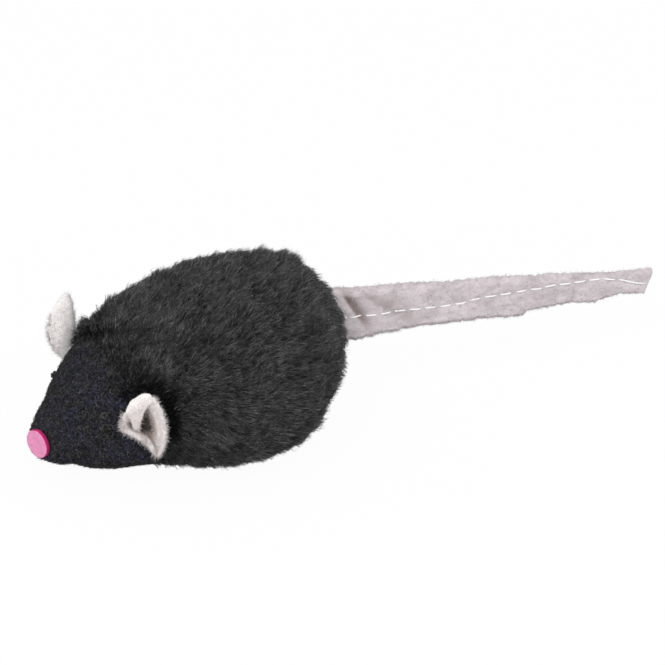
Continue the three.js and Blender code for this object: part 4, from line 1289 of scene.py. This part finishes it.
    def fuzz(self, surface):
        """Loose fibres all over the outside of the strip, thicker along its cut edges."""
        chance = np.random.default_rng(87)
        weight = np.full((surface.shape[0] - 1, surface.shape[1] - 1), 0.5)
        weight[:, :2] = weight[:, -2:] = 8.0
        row, column = (place.astype(int) for place in scattered(surface, 7400, chance, weight))
        places = surface[row, column]
        across = surface[row, (column + 1) % surface.shape[1]] - places
        out = unit(np.cross(surface[row + 1, column] - places, across))
        out = out * np.sign((out * (places - surface[row].mean(1))).sum(-1))[:, None]
        edge = (column < 2) | (column > surface.shape[1] - 4)
        down = np.array([0.0, 0.0, -1.2]) * edge[:, None]
        lean = unit(out * 0.7 + down + chance.normal(size=out.shape) * 0.6)
        reach = lean * chance.uniform(0.25, 0.8, (len(row), 1))
        curl = chance.normal(size=out.shape) * 0.1
        widths, shades = chance.uniform(0.03, 0.07, len(row)), chance.random(len(row))
        material = pale_fibres("Loose felt fibres, grey", "a9a1a4", "e9e2e4")
        return fibres("tail_fuzz", places, reach, curl, out * 0.05, widths, shades, material)

    def stitches(self, tail):
        """Running stitches on both faces: each is a short arched tube whose ends dive into the
        felt, set one pitch apart along the stitch line. The last one is a long one."""
        pitch, stitch = tail.pitch / MM, tail.stitch / MM
        length = tail.length / MM + TAIL_TUCK
        starts = np.arange(1.08, length - 1.9 * pitch, pitch)
        steps, sides, thread = 9, 7, 0.17
        share = np.linspace(0, 1, steps)
        lengths = np.where(starts == starts[-1], 2.5 * stitch, stitch)
        along = starts[:, None] + lengths[:, None] * share
        up = self.heights(tail, along / length)[1]
        off = tail.felt / MM + TAIL_SLIT + 0.16 * (1 - (2 * share - 1) ** 4) - 0.1
        sway = self.sway(along, up)
        paths = [self.placed(tail, along, side * off + sway, up) for side in (-1, 1)]
        paths = np.concatenate(paths)
        side = np.array([0.0, 1.0, 0.0])
        other = unit(np.cross(unit(np.gradient(paths, axis=1)), side))
        swell = thread * np.sqrt(np.maximum(1 - (2 * share - 1) ** 6, 0.12))
        rings = paths[:, :, None] + swell[None, :, None, None] * circle(side, other, sides)
        ends = np.stack([rings[:, 0].mean(1), rings[:, -1].mean(1)], 1)
        points = np.concatenate([rings.reshape(len(paths), -1, 3), ends], 1)
        corners, sizes = ring_faces(steps, sides)
        corners = (corners + points.shape[1] * np.arange(len(paths))[:, None]).ravel()
        sizes = np.tile(sizes, len(paths))
        # Spun thread: white and soft, with a faint shine
        material = moulded_material(
            "Spun polyester thread, white", "fbfafb", 0.3, 0.05, 0.06, Roughness=0.6
        )
        return new_piece("tail_stitches", points.reshape(-1, 3), corners, sizes, material)


class MOUSE_OT_filling(bpy.types.Operator):
    """Fibre filling of the head and body"""

    bl_idname = "mouse.filling"
    bl_label = "Filling"

    def execute(self, context):
        """Soft copies of the three solids of filling, a little smaller and cloudy."""
        # Carded polyester: white, matt and cloudy
        material = felt_material(
            "Polyester fibre filling", linear("eceae4"), linear("d9d6cf"), 1.05, patch_mm=3.0,
            fibre_mm=0.5, Roughness=0.95,
        )
        for node, name in (
            ("head_stuffing", "head_filling"),
            ("body_stuffing_lower", "body_filling_lower"),
            ("body_stuffing_upper", "body_filling_upper"),
        ):
            filling = soft_copy(node, name, 0.9, 0.12, 0.12, 3.5, 91, material)
            carried(filling, node)
        return {"FINISHED"}


class MOUSE_OT_module(bpy.types.Operator):
    """Finishes of the sound module inside the mouse"""

    bl_idname = "mouse.module"
    bl_label = "Sound module"

    # Name, colour, grain and relief in millimetres, change of tone, stretch of the grain,
    # metallic, roughness and nodes of each finish
    finishes = (
        # Injection moulded: milky and even, with a soft shine
        ("Moulded polypropylene, white", "e6e4de", 0.4, 0.02, 0.03, (1, 1, 1), 0, 0.45,
         ("module_case_base", "module_case_lid")),
        # Lacquer over woven glass: mottled green, half gloss
        ("Glass-fibre board, green", "2c6b45", 0.6, 0.03, 0.2, (1, 1, 1), 0, 0.5,
         ("circuit_board",)),
        # Cast epoxy: a smooth black drop with gentle hollows
        ("Potting resin, black", "17171a", 1.5, 0.05, 0.2, (1, 1, 1), 0, 0.3, ("chip_blob",)),
        # Deep drawn and plated: bright, faintly blurred steel
        ("Drawn steel, nickel plated", "b9bcc0", 0.5, 0.01, 0.08, (1, 1, 1), 1, 0.28,
         ("button_cell_1", "button_cell_2", "button_cell_3", "contact_strap_lower",
          "contact_strap_upper", "motion_switch_pin")),
        # Drawn through a die: fine lines along the wire
        ("Spring steel wire, drawn", "a9acb0", 0.3, 0.01, 0.1, (0.2, 1, 1), 1, 0.35,
         ("motion_switch_spring",)),
        # Rolled sheet: yellow metal with lines along the rolling
        ("Rolled brass", "c9a24e", 0.5, 0.01, 0.1, (1, 0.15, 1), 1, 0.32, ("piezo_speaker",)),
        # Extruded soft vinyl: even colour, half matt
        ("Vinyl wire coat, red", "b02a2a", 0.5, 0.02, 0.12, (1, 1, 1), 0, 0.5, ("wire_red",)),
        ("Vinyl wire coat, black", "202022", 0.5, 0.02, 0.12, (1, 1, 1), 0, 0.5,
         ("wire_black",)),
    )

    def execute(self, context):
        for name, code, grain, relief, tone, stretch, metallic, roughness, nodes in self.finishes:
            material = moulded_material(
                name, code, grain, relief, tone, stretch=stretch, Metallic=metallic,
                Roughness=roughness,
            )
            for node in nodes:
                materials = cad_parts[node].data.materials
                materials.clear()
                materials.append(material)
        return {"FINISHED"}


class MOUSE_PT_sidebar(bpy.types.Panel):
    """Lists the mouse's pieces in the 3D view's sidebar"""

    bl_idname = "MOUSE_PT_sidebar"
    bl_label = "Squeaky mouse"
    bl_space_type = "VIEW_3D"
    bl_region_type = "UI"
    bl_category = "Squeaky mouse"

    def draw(self, context):
        for operator in OPERATORS:
            self.layout.operator(operator.bl_idname)
        for name, group in SETTINGS.items():
            settings = getattr(context.scene, name)
            for value in group.__annotations__:
                self.layout.prop(settings, value)


SETTINGS = {
    "mouse_body": MouseBodySettings,
    "mouse_pile": MousePileSettings,
    "mouse_ear": MouseEarSettings,
    "mouse_tail": MouseTailSettings,
    "mouse_face": MouseFaceSettings,
    "mouse_stage": MouseStageSettings,
}
OPERATORS = (
    MOUSE_OT_stage,
    MOUSE_OT_head,
    MOUSE_OT_backing,
    MOUSE_OT_pile,
    MOUSE_OT_belly,
    MOUSE_OT_nose,
    MOUSE_OT_eyes,
    MOUSE_OT_ears,
    MOUSE_OT_tail,
    MOUSE_OT_filling,
    MOUSE_OT_module,
)


def register():
    for kind in (*SETTINGS.values(), *OPERATORS, MOUSE_PT_sidebar):
        bpy.utils.register_class(kind)
    for name, group in SETTINGS.items():
        setattr(bpy.types.Scene, name, bpy.props.PointerProperty(type=group))


def unregister():
    for name in SETTINGS:
        delattr(bpy.types.Scene, name)
    for kind in (MOUSE_PT_sidebar, *OPERATORS, *SETTINGS.values()):
        bpy.utils.unregister_class(kind)


def main():
    """Makes every piece in order."""
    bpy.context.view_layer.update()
    register()
    for operator in OPERATORS:
        group, name = operator.bl_idname.split(".")
        getattr(getattr(bpy.ops, group), name)()


if __name__ == "__main__":
    main()
